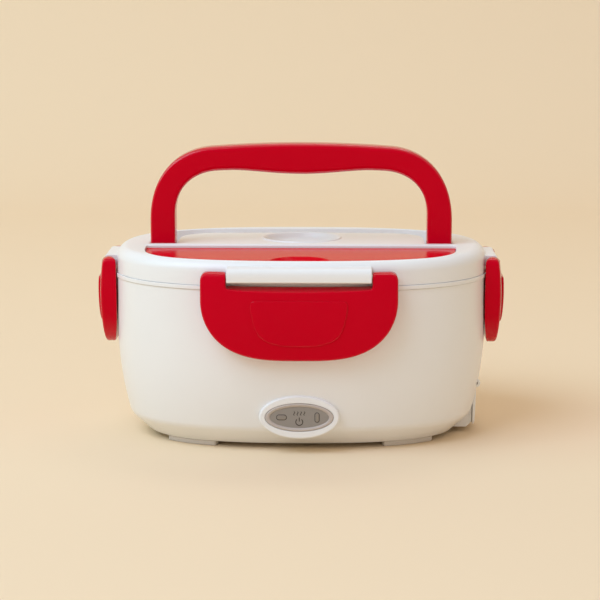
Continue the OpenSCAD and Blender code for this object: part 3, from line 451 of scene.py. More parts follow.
def stroke(name, points, width):
    """A printed line through points on the panel."""
    line = [Vector(p) for p in points]
    left, right = [], []
    for i, p in enumerate(line):
        way = (line[min(i + 1, len(line) - 1)] - line[max(i - 1, 0)]).normalized()
        side = Vector((-way.y, way.x)) * width / 2
        left.append(p + side)
        right.append(p - side)
    return skin(name, front_rings(right + left[::-1], [(0, PRINT_FACE - PRINT), (0, PRINT_FACE)]))


SYMBOL_Z, SYMBOL_R, SYMBOL_LINE = -2.6, 1.95, 0.52
WAVE_Z, WAVE_PITCH, WAVE_LINE = 2.3, 1.9, 0.42
ring = [(SYMBOL_R * math.sin(a), SYMBOL_Z - SYMBOL_R * math.cos(a)) for a in arc(-140, 140, 40)]
prints = [stroke("power_ring", ring, SYMBOL_LINE),
          stroke("power_bar", [(0, SYMBOL_Z + 0.3), (0, SYMBOL_Z + 2.6)], SYMBOL_LINE)]
for i in range(4):
    wave = [((i - 1.5) * WAVE_PITCH + 0.32 * math.sin(3.0 * v), WAVE_Z + v)
            for v in (-1.1 + 2.2 * k / 20 for k in range(21))]
    prints.append(stroke("heat_wave_%d" % i, wave, WAVE_LINE))
complete(bezel, moulded("satin_grey_plastic", (0.53, 0.465, 0.42), 0.34, grain=0.12),
         "panel_plate", "base")
complete(inlay, moulded("panel_inlay_grey", (0.295, 0.265, 0.235), 0.42, grain=0.15),
         "panel_inlay", "base")
window_plastic = moulded("frosted_window", (0.27, 0.235, 0.20), 0.22)
for piece in (left_window, right_window):
    complete(piece, window_plastic, "lamp_windows", "base")
# one dark material for the printed symbol and for the painted groove shade round the windows
print_and_painted_groove_shade = moulded("dark_print_and_painted_groove_shade", (0.05, 0.038, 0.030), 0.5)
for piece in prints:
    complete(piece, print_and_painted_groove_shade, "power_symbol", "base")
# the dark rings round the windows take the ink as painted shade for their grooves
for piece in (left_painted_groove_shade, right_painted_groove_shade):
    paint(piece, print_and_painted_groove_shade)
    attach(piece, "base")


# ---------- Lid ----------
# A deep white lid with a rounded top edge. Its top has a U-shaped channel that takes the folded
# handle, a raised bar, the pocket of the spoon compartment and a dished oval for the vent.

LID_LOW, LID_TOP = RIM_TOP + 0.3, RIM_TOP + 14.3
LID_EDGE_R = 7.0
PLATE_RECESS = 1.8
PIVOT_Z = LID_TOP - 2.6          # hinge axis of the handle
HANDLE_HALF = 88.2
LEG_IN = HANDLE_HALF - 14.6
GRIP_HALF_D = 7.2
HANDLE_H = box("handle")[1][2] - PIVOT_Z
GRIP_T = 15.0
BELLY = 2.9                      # extra thickness under the middle of the grip
OUTER_BEND = (16, 52, 2)         # straight leg, start of the top from the middle, its crown
INNER_BEND = (20, 48, 1)
GAP = 0.7                        # round the folded handle
CHANNEL_LOW = PIVOT_Z - GRIP_HALF_D - 0.3
CHANNEL_FRONT = -GRIP_HALF_D - 0.5
COVER_HALF = 91.2
COVER_IN = 5.9                   # inset of the spoon cover's front edge from the rim band
COVER_BACK = 13.3
COVER_TOP = LID_TOP - 1.3
COVER_SEAT = LID_TOP - 2.8
COVER_LEDGE = 3.0                # that the cover rests on round the compartment
SPOON_FLOOR = COVER_SEAT - 7
VENT_Y = GRIP_HALF_D + 13.1
VENT_FLOOR = LID_TOP - 4.5
VENT_HALF = (23.0, 20.8)
BAR_LOW = RIM_TOP + 3.4          # underside of the hinge bars
FLARE = 76                       # degrees that a pocket's edge opens out by


def arch(half, height, straight, level, crown):
    """The handle's outline from the foot of its right leg over the top to its left leg, as (x, height
    above the hinge axis): a straight leg, a corner, and from level on a slightly crowned top."""
    line = [Vector((half, straight * i / 6)) for i in range(6)]
    slope = Vector((-level, 2 * crown)).normalized()
    end = Vector((level, height - crown))
    a, d = Vector((half, straight)), end
    b, c = a.lerp(Vector((half, end.y)), 0.6), end - slope * 0.6 * (half - level)
    for t in (i / 48 for i in range(48)):
        line.append((1 - t) ** 3 * a + 3 * (1 - t) ** 2 * t * b + 3 * (1 - t) * t * t * c + t ** 3 * d)
    line += [Vector((level * u, height - crown * u * u)) for u in (1 - i / 24 for i in range(25))]
    return line + [Vector((-p.x, p.y)) for p in line[-2::-1]]


def crescent(smaller):
    """Outline of the spoon cover, smaller all round: a straight back, rounded tips, and a front
    that runs beside the lid's edge."""
    half, back = COVER_HALF - smaller, COVER_BACK + smaller
    bow = []
    for angle in arc(194, 346, 720):
        p = plan_point(angle, COVER_IN + smaller)
        bow.append(Vector((p.x / (1 + (abs(p.x) / half) ** 14) ** (1 / 14), p.y)))
    bow = [p for p in bow if p.y < -back - 5.4]
    tip = soft_corner(bow[-1], (half - 1.1, -back), (0, -back), 2.9, 10)
    left = [Vector((-p.x, p.y)) for p in reversed(tip)]
    return evenly(left + bow + tip, 240, closed=True)


def flare(low, high, floor_round, edge_round):
    """Profile of a pocket: a rounded floor, an upright wall, and an edge that opens out."""
    floor = [(-inwards, low + down) for inwards, down in quarter(floor_round, 3)]
    edge = [(edge_round * (1 - math.cos(a)), high - edge_round * (1 - math.sin(a)))
            for a in arc(0, FLARE, 6)]
    way = math.radians(FLARE)
    return floor + edge + [(edge[-1][0] + 1.6 * math.sin(way), edge[-1][1] + 1.6 * math.cos(way))]


def upright(name, outline, profile):
    """A solid that stands on an outline; profile is a list of (growth, height)."""
    return skin(name, [[(p.x, p.y, z) for p in grown(outline, growth)] for growth, z in profile])


def quarter_turns(point, turns):
    """A point carried round the middle by quarter turns: 0 front, 1 right, 2 rear, 3 left."""
    x, y, z = point
    for _ in range(turns):
        x, y = -y, x
    return (x, y, z)


lid = skin("lid", plan_rings([
    (5.5, LID_LOW + PLATE_RECESS), (5.5, LID_LOW + 0.4), (5.1, LID_LOW - 0.2), (RIM_LIP + 0.3, LID_LOW - 0.2),
    (RIM_LIP + 0.09, LID_LOW - 0.12), (RIM_LIP, LID_LOW + 0.1), (RIM_LIP, LID_LOW + 3)] + [
    (1.2 + inwards, LID_TOP - down) for down, inwards in quarter(LID_EDGE_R, 14)]))
for turns, (half, front, back, top, edge) in enumerate(((40.0, HALF_D + 7.1, HALF_D - 11, BAR_LOW + 8, 5.0),
                                                        (17.5, HALF_W + 4.7, HALF_W - 11, BAR_LOW + 6, 2.0)) * 2):
    outline = ([Vector((-back, BAR_LOW)), Vector((-back, top))]
               + soft_corner((-back, top), (-front, top), (-front, BAR_LOW), edge)
               + soft_corner((-front, top), (-front, BAR_LOW), (-back, BAR_LOW), 0.9, 4))
    ends = [(-0.4, -half), (-0.12, -half + 0.12), (0, -half + 0.4)]
    ends += [(growth, -x) for growth, x in reversed(ends)]
    carve(lid, skin("hinge_bar", [[quarter_turns((x, p.x, p.y), turns) for p in grown(outline, growth)]
                                  for growth, x in ends]), "UNION")

outer_line = arch(HANDLE_HALF + GAP, HANDLE_H + GAP, *OUTER_BEND)
inner_line = arch(LEG_IN - GAP, HANDLE_H - GRIP_T - BELLY - GAP, *INNER_BEND)
channel = ([Vector((HANDLE_HALF + GAP, CHANNEL_FRONT))] + outer_line
           + [Vector((x, CHANNEL_FRONT)) for x in (-HANDLE_HALF - GAP, -LEG_IN + GAP)]
           + inner_line[::-1] + [Vector((LEG_IN - GAP, CHANNEL_FRONT))])
carve(lid, upright("channel", channel, flare(CHANNEL_LOW, LID_TOP, 0.8, 0.7)))
carve(lid, upright("cover_pocket", crescent(0), flare(COVER_SEAT, LID_TOP, 0.1, 0.3)))
carve(lid, upright("compartment", crescent(COVER_LEDGE), flare(SPOON_FLOOR, COVER_SEAT, 1.0, 0.4)))

# the bar stands between the cover and the channel, and fades into the lid at both ends
BAR_HALF = COVER_HALF + 3.5
front, back, low = -COVER_BACK + 0.04, -GRIP_HALF_D - 1.3, LID_TOP - 2
cross_rings = []
for i in range(61):
    x = BAR_HALF * (i / 30 - 1)
    high = LID_TOP - 0.3 + math.sin(math.pi / 2 * min(1.0, max(0.0, (BAR_HALF - abs(x)) / 9)))
    outline = (soft_corner((back, low), (back, high), (front, high), 0.6)
               + soft_corner((back, high), (front, high), (front, low), 1.7)
               + [Vector((front, low)), Vector((back, low))])
    cross_rings.append([(x, p.x, p.y) for p in outline])
carve(lid, skin("cross_bar", cross_rings), "UNION")


def vent_rings(profile):
    """Oval rings round the vent, from a list of (growth, height)."""
    return [[(p.x, VENT_Y + p.y, z) for p in oval(VENT_HALF[0] + growth, VENT_HALF[1] + growth)]
            for growth, z in profile]


carve(lid, skin("dish_lip", vent_rings((
    (1.0, LID_TOP - 1), (1.0, LID_TOP - 0.02), (0.85, LID_TOP + 0.35), (0.5, LID_TOP + 0.6),
    (0.1, LID_TOP + 0.7), (-1.0, LID_TOP + 0.7)))), "UNION")
carve(lid, skin("dish", vent_rings((
    (-14.0, VENT_FLOOR), (-8.0, VENT_FLOOR + 0.15), (-5.2, VENT_FLOOR + 0.6), (-3.4, VENT_FLOOR + 1.5),
    (-2.2, VENT_FLOOR + 2.7), (-1.4, LID_TOP - 0.7), (-0.9, LID_TOP + 0.1), (-0.5, LID_TOP + 0.48),
    (0.0, LID_TOP + 0.68), (1.6, LID_TOP + 1.1)))))
STEM_HOLE_R = 3.5
carve(lid, upright("stem_hole", [p + Vector((0, VENT_Y)) for p in oval(STEM_HOLE_R, STEM_HOLE_R, count=32)],
                   [(0, LID_LOW), (0, VENT_FLOOR - 0.3), (0.3, VENT_FLOOR + 0.3)]))
complete(lid, white_plastic, "lid_shell", "lid")


# ---------- Latches ----------
# Four glossy red clips, long ones front and rear and short ones at the sides, bowed outwards. Each
# turns on a steel pin through its two ears, and carries a raised thumb pad.

LATCH_Z = RIM_TOP + 6.4          # hinge axis of the latches
LATCH_TOP = LATCH_Z + 2.5
LATCH_OUT = 9.5                  # outermost point, outwards from the rim band
LATCH_INNER = 0.4
LATCH_BEND = 0.6                 # share of the body's curve that a latch follows
LATCH_EDGE = 1.2
SHOULDER = LATCH_Z - 13          # where the bowl of a latch begins
NOTCH_LOW, NOTCH_SAG = LATCH_Z - 6.4, 1.1
SLOPE_TOP = LATCH_Z - 5.7        # of the slope behind the notch, clear of the turning bar
SHEET_PITCH = 3.0                # between the points inside a plate's faces


def inside(outline, point):
    """Whether a point lies inside a closed outline."""
    hit = False
    for a, b in zip(outline, outline[1:] + outline[:1]):
        if (a.y > point.y) != (b.y > point.y) and point.x < a.x + (b.x - a.x) * (point.y - a.y) / (b.y - a.y):
            hit = not hit
    return hit


def sheet_points(ring, pitch):
    """Even points inside a closed outline, none of them close to it."""
    low = Vector((min(p.x for p in ring), min(p.y for p in ring)))
    high = Vector((max(p.x for p in ring), max(p.y for p in ring)))
    found = []
    for j in range(1, int((high.y - low.y) / pitch) + 1):
        for i in range(int((high.x - low.x) / pitch) + 2):
            p = Vector((low.x + pitch * (i + 0.5 * (j % 2)), low.y + pitch * j))
            if inside(ring, p) and min((p - q).length for q in ring) > 0.55 * pitch:
                found.append(p)
    return found


def plate(name, outline, top, low, edge, low_edge, place, pitch=SHEET_PITCH, steps=5):
    """A solid plate of any outline with rounded edges. top and low give the heights of its faces at
    a point of the outline's plane, and place carries a point and its height into the model."""
    mesh = bmesh.new()
    rows = [[(p, top(p) - down) for p in grown(outline, -inwards)] for inwards, down in quarter(edge, steps)]
    rows += [[(p, low(p) + up) for p in grown(outline, -inwards)] for up, inwards in quarter(low_edge, 3)]
    verts = [[mesh.verts.new(Vector(place(p, h)) * MM) for p, h in row] for row in rows]
    count = len(outline)
    for upper, lower in zip(verts, verts[1:]):
        for i in range(count):
            mesh.faces.new((upper[i - 1], upper[i], lower[i], lower[i - 1]))
    for row, ring, height in ((rows[0], verts[0], top), (rows[-1], verts[-1], low)):
        flat = [p for p, h in row]
        points, _, faces, origin, _, _ = delaunay_2d_cdt(
            flat + sheet_points(flat, pitch), [], [list(range(count))], 1, 1e-7)
        corner = [ring[min(ids)] if ids and min(ids) < count else mesh.verts.new(Vector(place(p, height(p))) * MM)
                  for p, ids in zip(points, origin)]
        for face in faces:
            mesh.faces.new([corner[k] for k in face])
    return as_object(name, mesh)


def sill(u):
    """Height of the notch's lower edge, from -1 to 1 across it."""
    return NOTCH_LOW - NOTCH_SAG * max(0.0, 1 - u * u)


def latch_outline(width, low, notch):
    """Front view of a latch: a bowl below, and two ears beside the notch for the hinge bar."""
    half = width / 2
    right = [Vector((half * math.cos(t) ** 0.62, SHOULDER - (SHOULDER - low) * math.sin(t)))
             for t in arc(90, 0, 300)[1:]]
    right += soft_corner((half, SHOULDER), (half, LATCH_TOP), (notch, LATCH_TOP), 5.0, 12)
    right += soft_corner((half, LATCH_TOP), (notch, LATCH_TOP), (notch, NOTCH_LOW), 1.5)
    right += soft_corner((notch, LATCH_TOP), (notch, NOTCH_LOW), (0, NOTCH_LOW), 1.8)
    right += [Vector((notch * u, sill(u))) for u in (0.9 - 0.06 * i for i in range(15))]
    left = [Vector((-p.x, p.y)) for p in reversed(right)]
    return evenly(right + left, 360, closed=True)


def sag(p, along, out):
    """How far the body's outline has curved back at a place beside the middle of a latch."""
    return out * (1 - (1 - abs(p.x / along) ** SQUARENESS) ** (1 / SQUARENESS))


def ear_round(p, radius):
    """How far a face turns back towards the top of the ears."""
    share = min(0.97, max(0.0, (p.y - (LATCH_TOP - radius)) / radius))
    return radius * (1 - math.sqrt(1 - share * share))


def latch_face(low, along, out, proud=0.0):
    """Distance from the middle of the outer face of a latch at a point of its front view."""
    def distance(p):
        k = (p.y - (LATCH_TOP + low) / 2 - 4) / (LATCH_TOP - low) * 2
        return out + proud + LATCH_OUT - 2.4 * k * k - ear_round(p, 3.0) - LATCH_BEND * sag(p, along, out)
    return distance


def latch_back(width, low, along, out):
    """Distance of its inner face, which comes closer to the wall towards the lower corners."""
    def distance(p):
        lean = 1.4 * ((LATCH_TOP - p.y) / (LATCH_TOP - low)) ** 2 * min(1.0, (2 * p.x / width) ** 2 + 0.25)
        return out + LATCH_INNER - lean + ear_round(p, 2.0) - sag(p, along, out)
    return distance


def spline(points, steps):
    """A smooth line through points, from the second to the last but one."""
    line = []
    for a, b, c, d in zip(points, points[1:], points[2:], points[3:]):
        line += [0.5 * (2 * b + (c - a) * t + (2 * a - 5 * b + 4 * c - d) * t * t + (3 * b - a - 3 * c + d) * t ** 3)
                 for t in (k / steps for k in range(steps))]
    return line


def thumb_outline(half, high, low):
    """Front view of a raised thumb pad: a straight top and a round bowl below."""
    bowl = ((-1, 0), (-1.004, 0.155), (-0.91, 0.6), (-0.74, 0.85), (-0.41, 0.977))
    bowl = bowl + ((0, 1),) + tuple((-u, v) for u, v in reversed(bowl))
    left = soft_corner((0, high), (-half, high), (-half, high - 6), 2.4)
    right = soft_corner((half, high - 6), (half, high), (0, high), 2.4)
    bowl = spline([Vector((half * u, high - (high - low) * v)) for u, v in bowl], 12)
    return evenly(left + bowl + right, 160, closed=True)


red_gloss = moulded("red_gloss_plastic", (0.60, 0.0004, 0.014), 0.16, grain=0.04, gloss=0.04, edge_gloss=0.35)
for turns, name in enumerate(("front_latch", "right_latch", "rear_latch", "left_latch")):
    if turns % 2 == 0:
        out, along, width, low, notch = HALF_D, HALF_W, 109.4, 55.6, 40.4
        thumb, thumb_top, thumb_low, rise = 26.8, 90.0, 64.3, 0.7
    else:
        out, along, width, low, notch = HALF_W, HALF_D, 54.0, 52.6, 17.9
        thumb, thumb_top, thumb_low, rise = 14.0, 92.5, 64.0, 1.3

    def carried(p, h, turns=turns):
        return quarter_turns((p.x, -h, p.y), turns)

    face, back = latch_face(low, along, out, -rise), latch_back(width, low, along, out)
    shell = plate(name + "_shell", latch_outline(width, low, notch), face, back, LATCH_EDGE, 0.7, carried)
    pad = plate(name + "_pad", thumb_outline(thumb, thumb_top, thumb_low), latch_face(low, along, out),
                latch_face(low, along, out, -rise - 0.5), 0.8 * rise, 0.1, carried, steps=4)
    slope_rings = []
    for i in range(41):
        x = (notch + 0.6) * (i / 20 - 1)
        p = Vector((x, sill(x / notch)))
        far, near = face(p) - LATCH_EDGE, back(p)
        slope_rings.append([quarter_turns((x, -y, z), turns) for y, z in (
            (far, p.y), (near + 3.4, p.y + 0.6 * (SLOPE_TOP - p.y)), (near + 1.6, SLOPE_TOP - 0.2),
            (near + 0.8, SLOPE_TOP), (near + 0.3, SLOPE_TOP - 0.1), (near, SLOPE_TOP - 0.4), (near, p.y - 2),
            (far - 1, p.y - 2))])
    for piece in (shell, pad, skin(name + "_slope", slope_rings)):
        complete(piece, red_gloss, name, name, 50)


# ---------- Handle ----------
# One glossy red arch of rounded rectangular section, thicker under the middle of the grip. Its two
# legs turn on pins in the lid, and it folds back into the channel.

LEG_R, TOP_R = 1.5, 3.6          # rounding of the section's corners in the legs and on top
BELLY_HALF = 40.0


def section(half_h, half_b, radius, per_corner=7):
    """Rounded rectangle, as fractions of a section's height and its half depth in millimetres."""
    points = []
    for k, (sx, sy) in enumerate(((1, 1), (-1, 1), (-1, -1), (1, -1))):
        for a in arc(90 * k, 90 * k + 90, per_corner - 1):
            points.append(((sx * (half_h - radius) + radius * math.cos(a)) / half_h,
                           sy * (half_b - radius) + radius * math.sin(a)))
    return points


def grip_ring(o, p, half_b):
    """A section between the arch's outer point o and inner point p, both above the hinge axis."""
    half_h, middle = (o - p).length / 2, (o + p) / 2
    share = min(1.0, max(0.0, middle.y / (HANDLE_H - GRIP_T / 2)))
    radius = LEG_R + (TOP_R - LEG_R) * share ** 4
    return [(middle.x + (o.x - middle.x) * u, v, PIVOT_Z + middle.y + (o.y - middle.y) * u)
            for u, v in section(half_h, half_b, min(radius, 0.8 * half_b))]


def swell(x):
    """Extra depth of the belly under the grip."""
    return BELLY * ((1 + math.cos(min(1.0, abs(x) / BELLY_HALF) * math.pi)) / 2) ** 0.7


feet = [[grip_ring(Vector((side * HANDLE_HALF, GRIP_HALF_D * math.sin(a))),
                   Vector((side * LEG_IN, GRIP_HALF_D * math.sin(a))), GRIP_HALF_D * math.cos(a))
         for a in arc(-84, 0, 9)[:-1]] for side in (1, -1)]
arches = zip(arch(HANDLE_HALF, HANDLE_H, *OUTER_BEND), arch(LEG_IN, HANDLE_H - GRIP_T, *INNER_BEND))
grip = skin("grip", feet[0] + [grip_ring(o, p - Vector((0, swell(p.x))), GRIP_HALF_D) for o, p in arches]
            + feet[1][::-1])
complete(grip, moulded("red_grip_plastic", (0.60, 0.0004, 0.014), 0.16, grain=0.04, gloss=0.04, edge_gloss=1.0),
         "handle", "handle", 50)


# ---------- Spoon cover ----------
# A crescent lid in mirror-gloss red over the spoon compartment, with a dished thumb scoop at its
# front edge. A thin rod along its straight rear edge turns in the two ends of the pocket.

FIT = 0.3
COVER_T = 1.2
AXIS_Y, AXIS_Z = -COVER_BACK - 1.55, LID_TOP - 1.7
LEAF_BACK = AXIS_Y + 0.6
SCOOP_Y = COVER_IN - HALF_D + 6.1
BALL_R, BALL_Z = 30.0, COVER_TOP + 24.7   # ball that shapes the scoop, and its middle
CROWN, CROWN_WIDTH = 0.4, 11.0


def disc_stack(name, x, y, profile, count=64):
    """A round solid on an upright axis; profile is a list of (radius, height)."""
    return skin(name, [[(x + r * math.cos(a), y + r * math.sin(a), z) for a in turn(count)] for r, z in profile])


full = crescent(FIT)
start = next(i for i, p in enumerate(full) if p.y < LEAF_BACK <= full[i - 1].y)
bow = [p for p in full[start:] + full[:start] if p.y < LEAF_BACK]
leaf = evenly([Vector((bow[-1].x, LEAF_BACK)), Vector((bow[0].x, LEAF_BACK))] + bow, 240, closed=True)
front_edge = [p for p in full if p.y < -COVER_BACK - 6]


def crowned(p):
    """Height of the cover's top, which falls away towards its front edge."""
    near = min((p - q).length for q in front_edge)
    return COVER_TOP - CROWN * max(0.0, 1 - near / CROWN_WIDTH) ** 2


def ball_line(radius, angles):
    """Profile of the ball below its middle."""
    return [(radius * math.sin(a), BALL_Z - radius * math.cos(a)) for a in angles]


cover = plate("spoon_lid", leaf, crowned, lambda p: COVER_TOP - COVER_T, 0.35, 0.15, lambda p, h: (p.x, p.y, h))
bowl = disc_stack("scoop_bowl", 0, SCOOP_Y, ball_line(BALL_R + 1.8, arc(2, 36, 12)))
carve(bowl, upright("bowl_room", crescent(COVER_LEDGE + FIT), [(0, SPOON_FLOOR + 1), (0, COVER_TOP - 1)]),
      "INTERSECT")
carve(cover, bowl, "UNION")
ball = ball_line(BALL_R, arc(1, 33.6, 14))
(rim_r, rim_z) = ball[-1]
ball += [(rim_r + 0.55, rim_z + 0.28), (rim_r + 1.1, COVER_TOP + 0.02), (rim_r + 2.0, COVER_TOP + 0.4)]
carve(cover, disc_stack("scoop", 0, SCOOP_Y, ball))
stub = rod("stub", 0.5, -COVER_HALF - 1.5, COVER_HALF + 1.5, AXIS_Y, AXIS_Z, "X", 0.25, 24)
cover_red = moulded("mirror_red_plastic", (0.70, 0.0004, 0.010), 0.17, grain=0.01, gloss=0.035)
for piece in (cover, stub):
    complete(piece, cover_red, "spoon_cover", "spoon_cover")


# ---------- Spoon ----------
# A one-piece spoon in milky plastic that lies along the compartment. Its bowl is dished and thin,
# and its handle widens towards a round end.

SPOON_LOW, SPOON_X = box("spoon")[0][2], box("spoon")[1][0]
SPOON_Y = (box("spoon")[0][1] + box("spoon")[1][1]) / 2
SPOON_L = 2 * SPOON_X
SPOON_T = 1.1
BOWL_HALF = 13.4
BOWL_SHARE = 0.35                # of the spoon's length
DISHED = 1.3
TAIL_R = 6.4


def spoon_half(u):
    """Half width of the spoon, from 0 at the bowl's tip to 1 at the handle's end."""
    s = min(1.0, abs(2 * u / BOWL_SHARE - 1.04) / 1.04)
    bowl = BOWL_HALF * (1 - s ** 2.3) ** 0.5
    handle = (3.0 + 3.4 * max(0.0, (u - 0.3) / 0.7) ** 1.4) if u > 0.2 else 0.0
    half = (bowl ** 5 + handle ** 5) ** 0.2
    end = max(0.0, 1 - (1 - u) * SPOON_L / TAIL_R)
    return max(0.4, half * math.sqrt(1 - min(0.998, end * end)))


across = [k / 7 - 1 for k in range(15)]
spoon_rings = []
for i in range(91):
    u = (1 - math.cos(math.pi * i / 90)) / 2
    half = spoon_half(u)
    bowl = max(0.0, math.cos(math.pi / 2 * min(1.0, u / (BOWL_SHARE + 0.04)))) ** 0.5
    under = [(v * half, DISHED * bowl * v * v) for v in across]
    upper = [(v * half, SPOON_T + DISHED * bowl * v * v + 0.9 * (1 - bowl) * (1 - v * v)) for v in across]
    for side in (under, upper):
        side[0], side[-1] = (0.25 - half, side[0][1]), (half - 0.25, side[-1][1])
    edge_z = DISHED * bowl + 0.5
    spoon_rings.append([(-SPOON_X + SPOON_L * u, SPOON_Y + y, SPOON_LOW + z)
                        for y, z in under + [(half, edge_z)] + upper[::-1] + [(-half, edge_z)]])
complete(skin("spoon_body", spoon_rings), moulded("milky_plastic", (0.80, 0.79, 0.76), 0.34, grain=0.05),
         "spoon", "lid", 60)


# ---------- Vent plug ----------
# A soft silicone stopper with a broad flat head, a small knob to pull it by, and a stem that seals
# the hole through the lid.

HEAD_R = (box("vent_plug")[1][0] - box("vent_plug")[0][0]) / 2
HEAD_LOW = VENT_FLOOR + 0.3
STEM_R = 3.2
head = [(0, 0.25), (0, 0.7), (-0.12, 0.88), (-0.5, 1.0)]
knob = [(4.4, 1.0), (3.75, 1.06), (3.5, 1.2), (3.4, 1.33), (3.1, 1.4)]
plug = disc_stack("vent_stopper", 0, VENT_Y, [
    (STEM_R - 0.4, LID_LOW + 0.5), (STEM_R, LID_LOW + 0.9), (STEM_R, HEAD_LOW), (HEAD_R - 0.3, HEAD_LOW)]
    + [(HEAD_R + r, HEAD_LOW + z) for r, z in head] + [(r, HEAD_LOW + z) for r, z in knob])
complete(plug, moulded("cloudy_silicone", (0.74, 0.72, 0.71), 0.42, grain=0.08),
         "vent_plug", "vent_plug", 60)


# ---------- Inner lid plate and gasket ----------
# The plate closes the hollow lid from below. A ring under it drops into the main container, and a
# two-lipped silicone gasket sits in the groove outside that ring.

PLATE_OUT = 5.9                  # insets from the rim band
RING_OUT, RING_IN = 14.8, 16.2
GROOVE_OUT, GROOVE_IN = 7.2, 12.0
GASKET_OUT, GASKET_IN = 7.3, 11.9
plate_low, plate_top = LID_LOW + 0.1, LID_LOW + PLATE_RECESS - 0.3
ring_low = box("lid_inner_plate")[0][2]
seal_low, seal_top = [corner[2] for corner in box("lid_gasket")]
groove_top = seal_top + 0.3
inner_plate = skin("inner_plate", plan_rings([
    (RING_IN + 6, plate_low), (RING_IN + 0.5, plate_low), (RING_IN, plate_low - 0.5), (RING_IN, ring_low + 0.4),
    (RING_IN - 0.4, ring_low), (RING_OUT + 0.4, ring_low), (RING_OUT, ring_low + 0.4),
    (RING_OUT, plate_low - 0.4), (RING_OUT - 0.4, plate_low), (GROOVE_IN + 0.2, plate_low),
    (GROOVE_IN, plate_low + 0.2), (GROOVE_IN, groove_top), (GROOVE_OUT, groove_top),
    (GROOVE_OUT, plate_low + 0.2), (GROOVE_OUT - 0.2, plate_low), (PLATE_OUT + 0.3, plate_low),
    (PLATE_OUT, plate_low + 0.3), (PLATE_OUT, plate_top - 0.3), (PLATE_OUT + 0.3, plate_top),
    (PLATE_OUT + 3, plate_top)]))
carve(inner_plate, disc_stack("hole", 0, VENT_Y, [(STEM_HOLE_R, plate_low - 1), (STEM_HOLE_R, plate_top + 1)]))
seal_lip = [(0, seal_low + 0.35), (0.12, seal_low + 0.1), (0.35, seal_low), (0.7, seal_low + 0.03),
            (1.0, seal_low + 0.2), (1.3, seal_low + 0.5), (1.8, seal_low + 0.62)]
gasket = skin("gasket", plan_rings(
    [(GASKET_OUT, seal_top - 0.15)] + [(GASKET_OUT + inwards, z) for inwards, z in seal_lip]
    + [(GASKET_IN - inwards, z) for inwards, z in reversed(seal_lip)]
    + [(GASKET_IN, seal_top - 0.15), (GASKET_IN - 0.15, seal_top), (GASKET_OUT + 0.15, seal_top)]), closed=True)
complete(inner_plate, white_plastic, "lid_inner_plate", "lid")
complete(gasket, moulded("gasket_silicone", (0.70, 0.70, 0.69), 0.5, grain=0.1), "lid_gasket", "lid")


# ---------- Pins ----------
# Drawn steel pins: four that the latches turn on, two for the handle and one for the inlet flap.

SMOOTH_BELOW = math.radians(35)  # angle between faces from which an edge of a CAD piece is sharp


def metal(name, colour, roughness, stretch):
    """Bare metal with fine marks drawn out along one axis."""
    material, tree, place = new_material(name)
    drawn = add(tree, "Mapping", {"Vector": place, "Scale": stretch}).outputs["Vector"]
    marks = add(tree, "TexNoise", {"Vector": drawn, "Scale": 260.0, "Detail": 4.0}).outputs["Fac"]
    shader = surface(tree, marks, shades(colour, 0.88, 1.06), roughness, (0.75, 1.25), marks, 0.05)
    shader.inputs["Metallic"].default_value = 1.0
    return material


def by_angle():
    """Modifier nodes that shade smooth and break at sharp edges."""
    tree = bpy.data.node_groups.new("smooth_by_angle", "GeometryNodeTree")
    for way in ("INPUT", "OUTPUT"):
        tree.interface.new_socket("Geometry", in_out=way, socket_type="NodeSocketGeometry")
    start, end, angle, sharp, faces, edges = [tree.nodes.new(kind) for kind in (
        "NodeGroupInput", "NodeGroupOutput", "GeometryNodeInputMeshEdgeAngle", "FunctionNodeCompare",
        "GeometryNodeSetShadeSmooth", "GeometryNodeSetShadeSmooth")]
    edges.domain = "EDGE"
    edges.inputs["Shade Smooth"].default_value = False
    sharp.operation = "GREATER_THAN"
    sharp.inputs[1].default_value = SMOOTH_BELOW
    for output, socket in ((angle.outputs["Unsigned Angle"], sharp.inputs[0]),
                           (start.outputs[0], faces.inputs["Geometry"]),
                           (faces.outputs[0], edges.inputs["Geometry"]),
                           (sharp.outputs[0], edges.inputs["Selection"]), (edges.outputs[0], end.inputs[0])):
        tree.links.new(output, socket)
    return tree


smooth_shading = by_angle()


def dress(node, material, edge):
    """Gives a CAD piece its finish, and softens its edges by so many millimetres."""
    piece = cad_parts[node]
    paint(piece, material)
    joined = piece.modifiers.new("joined", "WELD")
    joined.merge_threshold = 0.002 * MM
    if edge:
        worn = piece.modifiers.new("edges", "BEVEL")
        worn.width = edge * MM
        worn.segments = 2
        worn.limit_method = "ANGLE"
        worn.angle_limit = SMOOTH_BELOW
    piece.modifiers.new("shading", "NODES").node_group = smooth_shading
    even_shading(piece)


drawn_steel = metal("drawn_steel", (0.62, 0.61, 0.60), 0.28, (0.06, 1, 1))
for node in ("latch_pins", "handle_pins", "flap_pin"):
    dress(node, drawn_steel, 0.15)


# ---------- Heated well ----------
# An open tub in white polypropylene that hangs from its flange inside the body. The aluminium
# heating plate sits on its floor, with a round boss that reaches down through it.

